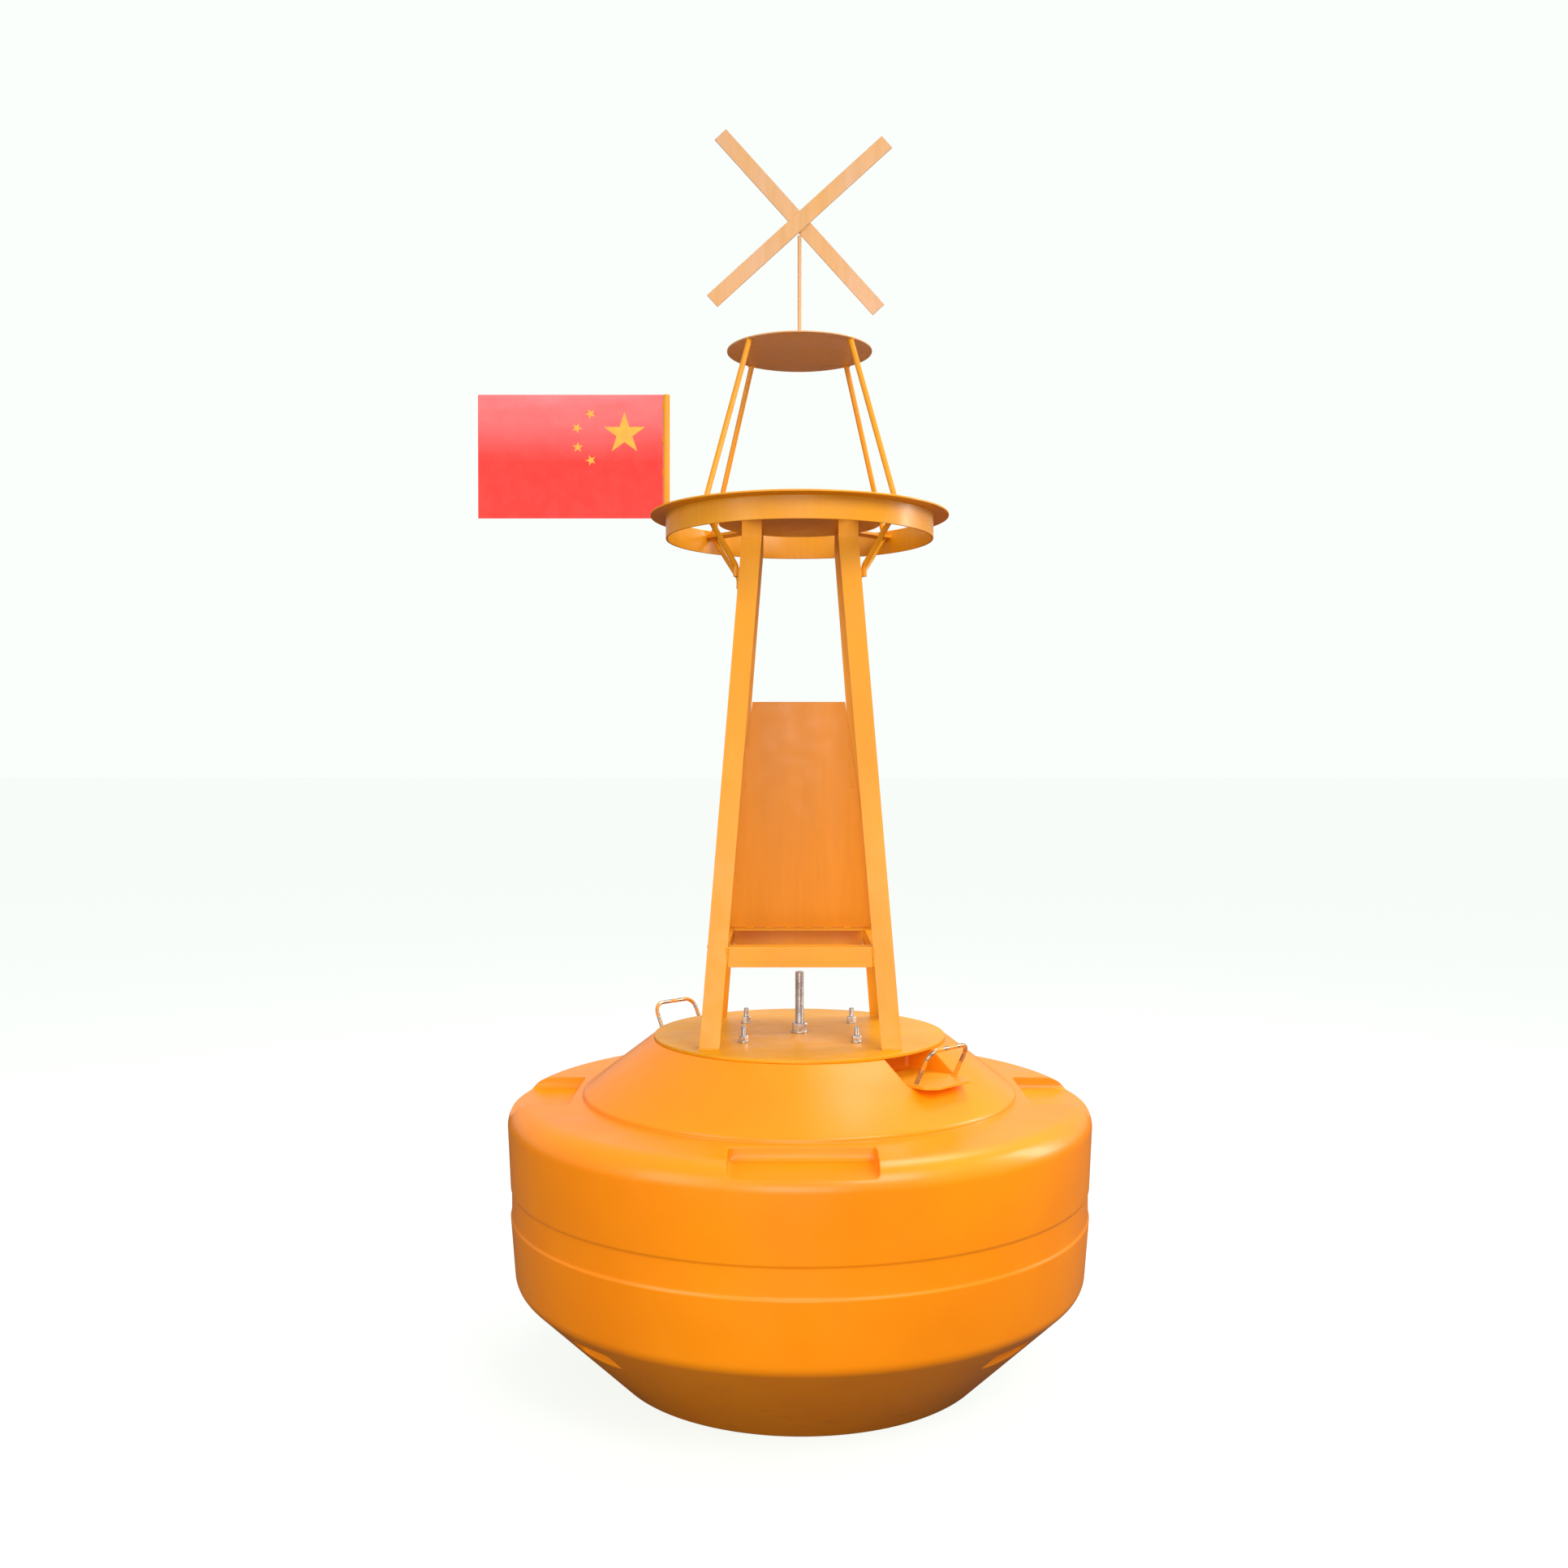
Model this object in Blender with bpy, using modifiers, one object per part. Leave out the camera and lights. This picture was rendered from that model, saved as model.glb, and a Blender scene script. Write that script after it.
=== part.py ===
"""Navigation buoy: a moulded float with a bolted angle-steel tower, day mark, lantern platform and cross topmark.

Metres, +Z up. The origin is the middle of the float's flat bottom, on the float's axis. The front of the
tower faces -Y and the day mark hangs on its rear face.
"""

from math import atan, cos, pi, radians, sin, sqrt, tan

import bmesh
import bpy
from mathutils import Matrix, Vector

SEAT_GAP = 0.0003  # left between two pieces that touch, so that their meshes never meet
CUT_OVERSHOOT = 0.020  # how far a cutter runs past the face that it opens

# Float, from its flat bottom up
FLOAT_RADIUS = 0.750
FLOAT_BOTTOM_RADIUS = 0.477
CHINE_Z = 0.247  # where wall and lower cone would meet without their rounding
CHINE_INSET = 0.0195  # how far the chine lies inside the widest radius
CHINE_ROUNDING = 0.045
WALL_BELOW_BELT = 0.161
BELT_HEIGHT = 0.075
BELT_INSET = 0.007
BELT_GROOVE_DEPTH = 0.003
WALL_ABOVE_BELT = 0.151
RIM_HEIGHT = 0.060  # from the widest level to the deck
RIM_ROUNDING = 0.058
DECK_WIDTH = 0.190
DECK_RISE = 0.003
CONE_FOOT_STEP = 0.014
CONE_FOOT_ROUNDING = 0.012
CONE_HEIGHT = 0.132
CONE_TOP_RADIUS = 0.385

# Recesses in the float
POCKET_WIDTH = 0.330
POCKET_SETBACK = 0.020  # from the cone's foot
POCKET_DEPTH = 0.030
HANDLE_SLOT_WIDTH = 0.180
HANDLE_SLOT_INNER_RADIUS = 0.290
HANDLE_SLOT_DEPTH = 0.0563
NOTCH_WIDTH = 0.140
NOTCH_DEPTH = 0.0855
NOTCH_HEIGHT = 0.212

# Base plate
BASE_MARGIN = 0.007  # the plate stops this far inside the cone's top edge
BASE_THICKNESS = 0.008

# Tower and its frame, of equal angle steel with the legs' heels outward
ANGLE_SIDE = 0.050
ANGLE_THICKNESS = 0.005
TOWER_HEIGHT = 1.323
LEG_FOOT_MARGIN = 0.0265  # from a heel's corner to the base plate's edge
LEG_HEAD_MARGIN = 0.0034  # from a heel's corner to the lantern plate's edge
LEG_UPRIGHT = 0.054  # length of the vertical head above the bend
FRAME_RISE = 0.250  # from the legs' feet to the frame's top

# Day mark
PANEL_HEIGHT = 0.6195
PANEL_THICKNESS = 0.003
PANEL_FOOT_CLEARANCE = 0.0048  # to the side walls of the legs
PANEL_HEAD_SETBACK = 0.0023  # short of the legs' inner edges

# Lantern platform
LANTERN_PLATE_RADIUS = 0.210
LANTERN_PLATE_THICKNESS = 0.006
RING_BORE_RADIUS = 0.342
RING_FLANGE_WIDTH = 0.045
RING_HEIGHT = 0.063
RING_THICKNESS = 0.005
RING_RISE = 0.022  # of the flange's top above the lantern plate's underside
ARM_WIDTH = 0.040
ARM_THICKNESS = 0.008
BRACE_RADIUS = 0.007
BRACE_DROP = 0.152  # from the lantern plate's underside to a brace's foot
BRACE_STUB = 0.028
BRACE_BEND = 0.020
BRACE_EDGE_DISTANCE = 0.0225  # from the heel of the leg to the brace
BRACE_HEAD_SETBACK = 0.0105  # from the ring's bore

# Cage and topmark
ROD_RADIUS = 0.007
ROD_FOOT_SETBACK = 0.0082  # from the ring's bore
ROD_HEAD_SETBACK = 0.009  # from the top disc's edge
CAGE_HEIGHT = 0.438
TOP_DISC_RADIUS = 0.1885
TOP_DISC_THICKNESS = 0.004
POLE_RADIUS = 0.005
CROSS_RISE = 0.335  # from the top disc to the cross's centre
CROSS_LENGTH = 0.612
CROSS_WIDTH = 0.040
CROSS_THICKNESS = 0.005
CROSS_LEAN = radians(2.8)  # the cross leans to the right, seen from the front

# Flag of sheet steel on a post
FLAG_POST_RADIUS = 0.009
FLAG_POST_HEIGHT = 0.343
FLAG_POST_SETBACK = 0.0152  # from the ring's outer edge to the post's axis
FLAG_POST_AZIMUTH = radians(162.6)
FLAG_WIDTH = 0.495
FLAG_HEIGHT = 0.330
FLAG_THICKNESS = 0.0025

# Lifting handles
TAB_WIDTH = 0.165
TAB_LENGTH = 0.195
TAB_SETBACK = 0.030  # from the slot's inner wall
TAB_CORNER_CUT = 0.025
TAB_THICKNESS = 0.006
HANDLE_BAR_RADIUS = 0.0052
HANDLE_SETBACK = 0.058  # from the tab's outer edge
HANDLE_SIDE_MARGIN = 0.0105  # from the tab's side edge to the bar's axis
HANDLE_RISE = 0.093
HANDLE_BEND = 0.030
HANDLE_LEAN = radians(28)

# Central tie rod with its nut and washer
TIE_ROD_RADIUS = 0.0115
TIE_ROD_STANDING = 0.1587  # above the base plate
TIE_ROD_SOCKET_DEPTH = 0.290
TIE_ROD_CLEARANCE = 0.001
NUT_ACROSS_FLATS = 0.036
NUT_HEIGHT = 0.021
WASHER_RADIUS = 0.022
WASHER_THICKNESS = 0.004
NUT_BITE = 0.001  # how far nut and washer run into each other where they join

# Steps of the round pieces, and of the bends in bars and profiles
LARGE_ROUND_STEPS = 64
SMALL_ROUND_STEPS = 24
BAR_STEPS = 12
BAR_BEVEL_RESOLUTION = 4
BEND_STEPS = 5

# Azimuths, in degrees from +X: (name, azimuth)
CORNERS = (("front_left", 225), ("front_right", 315), ("rear_right", 45), ("rear_left", 135))
SIDES = (("front", 270), ("right", 0), ("rear", 90), ("left", 180))
HANDLES = (("front_right", 315), ("rear_left", 135))
CORNER_AZIMUTH = 45  # of the corner that the pieces shared by all corners are modelled at

# Levels and radii that follow from the sizes above
CHINE_RADIUS = FLOAT_RADIUS - CHINE_INSET
BELT_RADIUS = FLOAT_RADIUS - BELT_INSET
BELT_BOTTOM_Z = CHINE_Z + WALL_BELOW_BELT
BELT_TOP_Z = BELT_BOTTOM_Z + BELT_HEIGHT
RIM_Z = BELT_TOP_Z + WALL_ABOVE_BELT
DECK_Z = RIM_Z + RIM_HEIGHT
CONE_FOOT_RADIUS = FLOAT_RADIUS - DECK_WIDTH
CONE_FOOT_Z = DECK_Z + CONE_FOOT_STEP
CONE_TOP_Z = CONE_FOOT_Z + CONE_HEIGHT
BASE_RADIUS = CONE_TOP_RADIUS - BASE_MARGIN
BASE_UNDER_Z = CONE_TOP_Z + SEAT_GAP
BASE_TOP_Z = BASE_UNDER_Z + BASE_THICKNESS
LEG_FOOT_Z = BASE_TOP_Z + SEAT_GAP
LEG_HEAD_Z = LEG_FOOT_Z + TOWER_HEIGHT
LEG_BEND_Z = LEG_HEAD_Z - LEG_UPRIGHT
LEG_FOOT_HALF = (BASE_RADIUS - LEG_FOOT_MARGIN) / sqrt(2)  # from the axis to a heel's outer faces
LEG_HEAD_HALF = (LANTERN_PLATE_RADIUS - LEG_HEAD_MARGIN) / sqrt(2)
LEG_SLOPE = (LEG_FOOT_HALF - LEG_HEAD_HALF) / (LEG_BEND_Z - LEG_FOOT_Z)
FRAME_TOP_Z = LEG_FOOT_Z + FRAME_RISE
PLATFORM_Z = LEG_HEAD_Z + SEAT_GAP  # underside of the lantern plate and of the arms
ARM_TOP_Z = PLATFORM_Z + ARM_THICKNESS
RING_TOP_Z = PLATFORM_Z + RING_RISE
RING_OUTER_RADIUS = RING_BORE_RADIUS + RING_FLANGE_WIDTH
TOP_DISC_UNDER_Z = ARM_TOP_Z + CAGE_HEIGHT
TOP_DISC_TOP_Z = TOP_DISC_UNDER_Z + TOP_DISC_THICKNESS
TAB_UNDER_Z = CONE_TOP_Z - HANDLE_SLOT_DEPTH + SEAT_GAP
TAB_TOP_Z = TAB_UNDER_Z + TAB_THICKNESS
TAB_INNER_RADIUS = HANDLE_SLOT_INNER_RADIUS + TAB_SETBACK
TAB_OUTER_RADIUS = TAB_INNER_RADIUS + TAB_LENGTH
SOCKET_RADIUS = TIE_ROD_RADIUS + TIE_ROD_CLEARANCE

# Each finish: (base colour, metallic, roughness)
FINISHES = {
    "float_orange": ((0.95, 0.30, 0.01, 1.0), 0.0, 0.28),
    "tower_paint": ((0.82, 0.38, 0.03, 1.0), 0.0, 0.35),
    "flag_paint": ((0.85, 0.03, 0.02, 1.0), 0.0, 0.40),
    "zinc_steel": ((0.62, 0.60, 0.57, 1.0), 0.9, 0.35),
}


def tower_half(z):
    """Half the tower's width at height z below the bend, measured to the legs' outer faces."""
    return LEG_FOOT_HALF - LEG_SLOPE * (z - LEG_FOOT_Z)


def clear_scene():
    for existing in list(bpy.data.objects):
        bpy.data.objects.remove(existing, do_unlink=True)


def make_collection(name):
    collection = bpy.data.collections.new(name)
    bpy.context.scene.collection.children.link(collection)
    return collection


def make_material(finish, owner):
    colour, metallic, roughness = FINISHES[finish]
    material = bpy.data.materials.new(f"{finish}_{owner}")
    material.use_nodes = True
    shader = material.node_tree.nodes["Principled BSDF"]
    shader.inputs["Base Color"].default_value = colour
    shader.inputs["Metallic"].default_value = metallic
    shader.inputs["Roughness"].default_value = roughness
    return material


def add_part(name, data, finish, collection, location=(0, 0, 0), azimuth=0.0):
    """A named object in the collection, turned about Z by azimuth degrees."""
    part = bpy.data.objects.new(name, data)
    part.location = location
    part.rotation_euler = (0, 0, radians(azimuth))
    part.data.materials.clear()
    part.data.materials.append(make_material(finish, name))
    collection.objects.link(part)
    return part


def add_cutter(name, mesh, collection, azimuth=0.0):
    cutter = bpy.data.objects.new(name, mesh)
    cutter.rotation_euler = (0, 0, radians(azimuth))
    cutter.hide_render = True
    cutter.display_type = "WIRE"
    collection.objects.link(cutter)
    return cutter


def combine(part, operation, other):
    """Cuts another object from a part, or joins it to the part."""
    boolean = part.modifiers.new(f"{operation.lower()}_{other.name}", "BOOLEAN")
    boolean.operation = operation
    boolean.solver = "EXACT"
    boolean.object = other


def mesh_from(name, shape):
    """A mesh made from a bmesh, which is then freed."""
    bmesh.ops.recalc_face_normals(shape, faces=shape.faces)
    mesh = bpy.data.meshes.new(name)
    shape.to_mesh(mesh)
    shape.free()
    return mesh


def box_mesh(name, low, high):
    """A box between two opposite corners."""
    low, high = Vector(low), Vector(high)
    shape = bmesh.new()
    place = Matrix.Translation((low + high) / 2) @ Matrix.Diagonal((*(high - low), 1.0))
    bmesh.ops.create_cube(shape, size=1.0, matrix=place)
    return mesh_from(name, shape)


def cylinder_shape(radius, bottom_z, top_z, steps):
    shape = bmesh.new()
    place = Matrix.Translation((0, 0, (bottom_z + top_z) / 2))
    height = top_z - bottom_z
    bmesh.ops.create_cone(
        shape, cap_ends=True, segments=steps, radius1=radius, radius2=radius, depth=height, matrix=place
    )
    return shape


def cylinder_mesh(name, radius, bottom_z, top_z, steps):
    return mesh_from(name, cylinder_shape(radius, bottom_z, top_z, steps))


def prism_mesh(name, outline, height_vector):
    """A flat outline of (x, y, z) corners, drawn out along a vector."""
    shape = bmesh.new()
    face = shape.faces.new([shape.verts.new(corner) for corner in outline])
    grown = bmesh.ops.extrude_face_region(shape, geom=[face])
    moved = [item for item in grown["geom"] if isinstance(item, bmesh.types.BMVert)]
    bmesh.ops.translate(shape, verts=moved, vec=height_vector)
    return mesh_from(name, shape)


def angle_outline():
    """(across, across) corners of the angle section, from its outer heel at (0, 0)."""
    side, wall = ANGLE_SIDE, ANGLE_THICKNESS
    return [(0, 0), (-side, 0), (-side, -wall), (-wall, -wall), (-wall, -side), (0, -side)]


def bend_points(before, corner, after, rounding, steps=BEND_STEPS):
    """Points of the arc that rounds a corner between two straight runs."""
    before, corner, after = Vector(before), Vector(corner), Vector(after)
    back = (before - corner).normalized()
    ahead = (after - corner).normalized()
    half_angle = back.angle(ahead) / 2
    reach = rounding / tan(half_angle)
    centre = corner + (back + ahead).normalized() * rounding / sin(half_angle)
    start = corner + back * reach - centre
    end = corner + ahead * reach - centre
    sweep = start.angle(end)
    axis = start.cross(end)
    return [centre + Matrix.Rotation(sweep * step / steps, 3, axis) @ start for step in range(steps + 1)]


def turned_part(name, points, closed, finish, collection):
    """A profile of (radius, 0, height) points turned about Z with a Screw modifier."""
    mesh = bpy.data.meshes.new(name)
    edges = [(index, index + 1) for index in range(len(points) - 1)]
    if closed:
        edges.append((len(points) - 1, 0))
    mesh.from_pydata(points, edges, [])
    part = add_part(name, mesh, finish, collection)
    screw = part.modifiers.new("turn", "SCREW")
    screw.angle = 2 * pi
    screw.steps = LARGE_ROUND_STEPS
    screw.render_steps = LARGE_ROUND_STEPS
    screw.use_merge_vertices = True
    screw.merge_threshold = 0.00005
    return part


def bar_shape(points, radius, bend):
    """A round bar along straight runs joined by bends, as a closed bmesh."""
    curve = bpy.data.curves.new("bar", "CURVE")
    curve.dimensions = "3D"
    curve.bevel_depth = radius
    curve.bevel_resolution = BAR_BEVEL_RESOLUTION
    curve.use_fill_caps = True
    route = [Vector(points[0])]
    for before, corner, after in zip(points, points[1:], points[2:]):
        route.extend(bend_points(before, corner, after, bend))
    route.append(Vector(points[-1]))
    spline = curve.splines.new("POLY")
    spline.points.add(len(route) - 1)
    for point, place in zip(spline.points, route):
        point.co = (*place, 1.0)
    guide = bpy.data.objects.new("bar_guide", curve)
    bpy.context.scene.collection.objects.link(guide)
    graph = bpy.context.evaluated_depsgraph_get()
    mesh = bpy.data.meshes.new_from_object(guide.evaluated_get(graph))
    bpy.data.objects.remove(guide)
    shape = bmesh.new()
    shape.from_mesh(mesh)
    bmesh.ops.remove_doubles(shape, verts=shape.verts, dist=0.00001)
    bpy.data.meshes.remove(mesh)
    return shape


def cut_level(shape, z):
    """Cuts off what lies above a level and closes the cut."""
    geometry = shape.verts[:] + shape.edges[:] + shape.faces[:]
    cut = bmesh.ops.bisect_plane(
        shape, geom=geometry, plane_co=(0, 0, z), plane_no=(0, 0, 1), clear_outer=True
    )
    rim = [item for item in cut["geom_cut"] if isinstance(item, bmesh.types.BMEdge)]
    bmesh.ops.contextual_create(shape, geom=rim)


def float_profile():
    """From the middle of the top, down the outside, to the middle of the bottom."""
    cone_top = (CONE_TOP_RADIUS, 0, CONE_TOP_Z)
    cone_foot = (CONE_FOOT_RADIUS, 0, CONE_FOOT_Z)
    deck_inner = (CONE_FOOT_RADIUS, 0, DECK_Z + DECK_RISE)
    rim_corner = (FLOAT_RADIUS, 0, DECK_Z)
    rim = (FLOAT_RADIUS, 0, RIM_Z)
    belt_bottom = (BELT_RADIUS, 0, BELT_BOTTOM_Z)
    chine = (CHINE_RADIUS, 0, CHINE_Z)
    bottom = (FLOAT_BOTTOM_RADIUS, 0, 0)
    groove_radius = BELT_RADIUS - BELT_GROOVE_DEPTH
    return [
        (0, 0, CONE_TOP_Z),
        cone_top,
        *bend_points(cone_top, cone_foot, deck_inner, CONE_FOOT_ROUNDING, steps=3),
        deck_inner,
        *bend_points(deck_inner, rim_corner, rim, RIM_ROUNDING, steps=7),
        (BELT_RADIUS, 0, BELT_TOP_Z),
        (groove_radius, 0, BELT_TOP_Z - BELT_GROOVE_DEPTH),
        (groove_radius, 0, BELT_BOTTOM_Z + BELT_GROOVE_DEPTH),
        belt_bottom,
        *bend_points(belt_bottom, chine, bottom, CHINE_ROUNDING),
        bottom,
        (0, 0, 0),
    ]


def build_float(parts, cutters):
    hull = turned_part("float", float_profile(), False, "float_orange", parts)
    beyond = FLOAT_RADIUS + CUT_OVERSHOOT
    pocket = box_mesh(
        "deck_pocket",
        (CONE_FOOT_RADIUS + POCKET_SETBACK, -POCKET_WIDTH / 2, DECK_Z - POCKET_DEPTH),
        (beyond, POCKET_WIDTH / 2, DECK_Z + CUT_OVERSHOOT),
    )
    slot = box_mesh(
        "handle_slot",
        (HANDLE_SLOT_INNER_RADIUS, -HANDLE_SLOT_WIDTH / 2, CONE_TOP_Z - HANDLE_SLOT_DEPTH),
        (beyond, HANDLE_SLOT_WIDTH / 2, CONE_TOP_Z + CUT_OVERSHOOT),
    )
    notch = box_mesh(
        "lower_notch",
        (CHINE_RADIUS - NOTCH_DEPTH, -NOTCH_WIDTH / 2, -CUT_OVERSHOOT),
        (beyond, NOTCH_WIDTH / 2, NOTCH_HEIGHT),
    )
    for mesh, places in ((pocket, SIDES), (slot, HANDLES), (notch, CORNERS)):
        for place, azimuth in places:
            combine(hull, "DIFFERENCE", add_cutter(f"{mesh.name}_{place}", mesh, cutters, azimuth))
    socket_bottom_z = CONE_TOP_Z - TIE_ROD_SOCKET_DEPTH
    socket_top_z = CONE_TOP_Z + CUT_OVERSHOOT
    socket = cylinder_mesh("tie_rod_socket", SOCKET_RADIUS, socket_bottom_z, socket_top_z, SMALL_ROUND_STEPS)
    combine(hull, "DIFFERENCE", add_cutter("tie_rod_socket", socket, cutters))


def build_base_plate(parts, cutters):
    mesh = cylinder_mesh("base_plate", BASE_RADIUS, BASE_UNDER_Z, BASE_TOP_Z, LARGE_ROUND_STEPS)
    plate = add_part("base_plate", mesh, "tower_paint", parts)
    hole_bottom_z = BASE_UNDER_Z - CUT_OVERSHOOT
    hole_top_z = BASE_TOP_Z + CUT_OVERSHOOT
    hole = cylinder_mesh("tie_rod_hole", SOCKET_RADIUS, hole_bottom_z, hole_top_z, SMALL_ROUND_STEPS)
    combine(plate, "DIFFERENCE", add_cutter("tie_rod_hole", hole, cutters))


def build_tie_rod(parts, cutters):
    """The threaded rod with its washer and nut, as one solid."""
    washer_z = BASE_TOP_Z + SEAT_GAP
    nut_z = washer_z + WASHER_THICKNESS
    nut_radius = NUT_ACROSS_FLATS / 2 / cos(pi / 6)
    bottom_z = CONE_TOP_Z - TIE_ROD_SOCKET_DEPTH + SEAT_GAP
    top_z = BASE_TOP_Z + TIE_ROD_STANDING
    mesh = cylinder_mesh("tie_rod", TIE_ROD_RADIUS, bottom_z, top_z, SMALL_ROUND_STEPS)
    rod = add_part("tie_rod", mesh, "zinc_steel", parts)
    washer = cylinder_mesh("tie_rod_washer", WASHER_RADIUS, washer_z, nut_z, SMALL_ROUND_STEPS)
    nut = cylinder_mesh("tie_rod_nut", nut_radius, nut_z - NUT_BITE, nut_z + NUT_HEIGHT, 6)
    for addition in (washer, nut):
        combine(rod, "UNION", add_cutter(addition.name, addition, cutters))


def leg_mesh():
    """A corner leg at +X +Y: an angle that leans in to the bend and stands upright above it."""
    lean_in = LEG_HEAD_HALF - LEG_FOOT_HALF
    outline = [(LEG_FOOT_HALF + x, LEG_FOOT_HALF + y, LEG_FOOT_Z) for x, y in angle_outline()]
    shape = bmesh.new()
    foot_face = shape.faces.new([shape.verts.new(corner) for corner in outline])
    grown = bmesh.ops.extrude_face_region(shape, geom=[foot_face])["geom"]
    bend_face = next(item for item in grown if isinstance(item, bmesh.types.BMFace))
    bmesh.ops.translate(shape, verts=bend_face.verts, vec=(lean_in, lean_in, LEG_BEND_Z - LEG_FOOT_Z))
    head_face = bmesh.ops.extrude_discrete_faces(shape, faces=[bend_face])["faces"][0]
    bmesh.ops.translate(shape, verts=head_face.verts, vec=(0, 0, LEG_UPRIGHT))
    return mesh_from("leg", shape)


def build_legs(parts):
    mesh = leg_mesh()
    for corner, azimuth in CORNERS:
        add_part(f"leg_{corner}", mesh.copy(), "tower_paint", parts, azimuth=azimuth - CORNER_AZIMUTH)


def build_frame(parts):
    """Four angle beams between the legs, with their flat sides up and turned inward."""
    outer = tower_half(FRAME_TOP_Z)
    half_length = outer - ANGLE_SIDE - SEAT_GAP
    corners = [(outer + x, -half_length, FRAME_TOP_Z + z) for x, z in angle_outline()]
    mesh = prism_mesh("frame_beam", corners, (0, 2 * half_length, 0))
    for side, azimuth in SIDES:
        add_part(f"frame_beam_{side}", mesh.copy(), "tower_paint", parts, azimuth=azimuth)


def build_day_mark(parts):
    """A tapered sheet on the inner faces of the rear legs, standing on the rear beam."""
    foot_z = FRAME_TOP_Z + SEAT_GAP
    head_z = foot_z + PANEL_HEIGHT
    slope = atan(LEG_SLOPE)
    lean = Vector((0, -sin(slope), cos(slope)))
    inward = Vector((0, -cos(slope), -sin(slope)))
    back_y = tower_half(foot_z) - ANGLE_THICKNESS - SEAT_GAP / cos(slope)
    half_foot = tower_half(foot_z) - ANGLE_THICKNESS - PANEL_FOOT_CLEARANCE
    half_head = tower_half(head_z) - ANGLE_SIDE - PANEL_HEAD_SETBACK
    foot = Vector((0, back_y, foot_z + PANEL_THICKNESS * sin(slope)))
    head = foot + lean * PANEL_HEIGHT / cos(slope)
    across = Vector((1, 0, 0))
    outline = [
        foot - across * half_foot,
        foot + across * half_foot,
        head + across * half_head,
        head - across * half_head,
    ]
    add_part("day_mark_panel", prism_mesh("day_mark_panel", outline, inward * PANEL_THICKNESS), "tower_paint", parts)


def build_platform(parts):
    plate_top_z = PLATFORM_Z + LANTERN_PLATE_THICKNESS
    plate = cylinder_mesh("lantern_plate", LANTERN_PLATE_RADIUS, PLATFORM_Z, plate_top_z, LARGE_ROUND_STEPS)
    add_part("lantern_plate", plate, "tower_paint", parts)
    wall_radius = RING_BORE_RADIUS + RING_THICKNESS
    flange_under_z = RING_TOP_Z - RING_THICKNESS
    section = [
        (RING_BORE_RADIUS, 0, RING_TOP_Z),
        (RING_OUTER_RADIUS, 0, RING_TOP_Z),
        (RING_OUTER_RADIUS, 0, flange_under_z),
        (wall_radius, 0, flange_under_z),
        (wall_radius, 0, RING_TOP_Z - RING_HEIGHT),
        (RING_BORE_RADIUS, 0, RING_TOP_Z - RING_HEIGHT),
    ]
    turned_part("platform_ring", section, True, "tower_paint", parts)
    # A flat end must clear the curved bore at the arm's corners
    arm_end = sqrt(RING_BORE_RADIUS**2 - (ARM_WIDTH / 2) ** 2) - 2 * SEAT_GAP
    arm_start = LANTERN_PLATE_RADIUS + SEAT_GAP
    half = ARM_WIDTH / 2
    arm = box_mesh("platform_arm", (arm_start, -half, PLATFORM_Z), (arm_end, half, ARM_TOP_Z))
    for corner, azimuth in CORNERS:
        add_part(f"platform_arm_{corner}", arm.copy(), "tower_paint", parts, azimuth=azimuth)


def build_braces(parts):
    """Bent bars from the legs' faces that look to +X and -X, out to the arms' undersides."""
    foot_z = PLATFORM_Z - BRACE_DROP
    heel = tower_half(foot_z)
    along = heel + BRACE_RADIUS + SEAT_GAP
    across = heel - BRACE_EDGE_DISTANCE
    head = (RING_BORE_RADIUS - BRACE_HEAD_SETBACK) / sqrt(2)
    for corner, azimuth in CORNERS:
        side_x = 1 if cos(radians(azimuth)) > 0 else -1
        side_y = 1 if sin(radians(azimuth)) > 0 else -1
        route = [
            (along * side_x, across * side_y, foot_z),
            (along * side_x, across * side_y, foot_z + BRACE_STUB),
            (head * side_x, head * side_y, PLATFORM_Z + BRACE_RADIUS),
        ]
        shape = bar_shape(route, BRACE_RADIUS, BRACE_BEND)
        cut_level(shape, PLATFORM_Z - SEAT_GAP)
        name = f"platform_brace_{corner}"
        add_part(name, mesh_from(name, shape), "tower_paint", parts)


def rod_mesh():
    """A cage rod over +X: round in plan, with both ends cut level."""
    foot_z = ARM_TOP_Z + SEAT_GAP
    head_z = TOP_DISC_UNDER_Z - SEAT_GAP
    foot_radius = RING_BORE_RADIUS - ROD_FOOT_SETBACK
    head_radius = TOP_DISC_RADIUS - ROD_HEAD_SETBACK
    lean = (head_radius - foot_radius) / (head_z - foot_z)
    shape = cylinder_shape(ROD_RADIUS, foot_z, head_z, BAR_STEPS)
    for vertex in shape.verts:
        vertex.co.x += foot_radius + lean * (vertex.co.z - foot_z)
    return mesh_from("cage_rod", shape)


def build_cage(parts):
    mesh = rod_mesh()
    for corner, azimuth in CORNERS:
        add_part(f"cage_rod_{corner}", mesh.copy(), "tower_paint", parts, azimuth=azimuth)
    disc = cylinder_mesh("top_disc", TOP_DISC_RADIUS, TOP_DISC_UNDER_Z, TOP_DISC_TOP_Z, LARGE_ROUND_STEPS)
    add_part("top_disc", disc, "tower_paint", parts)


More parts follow.
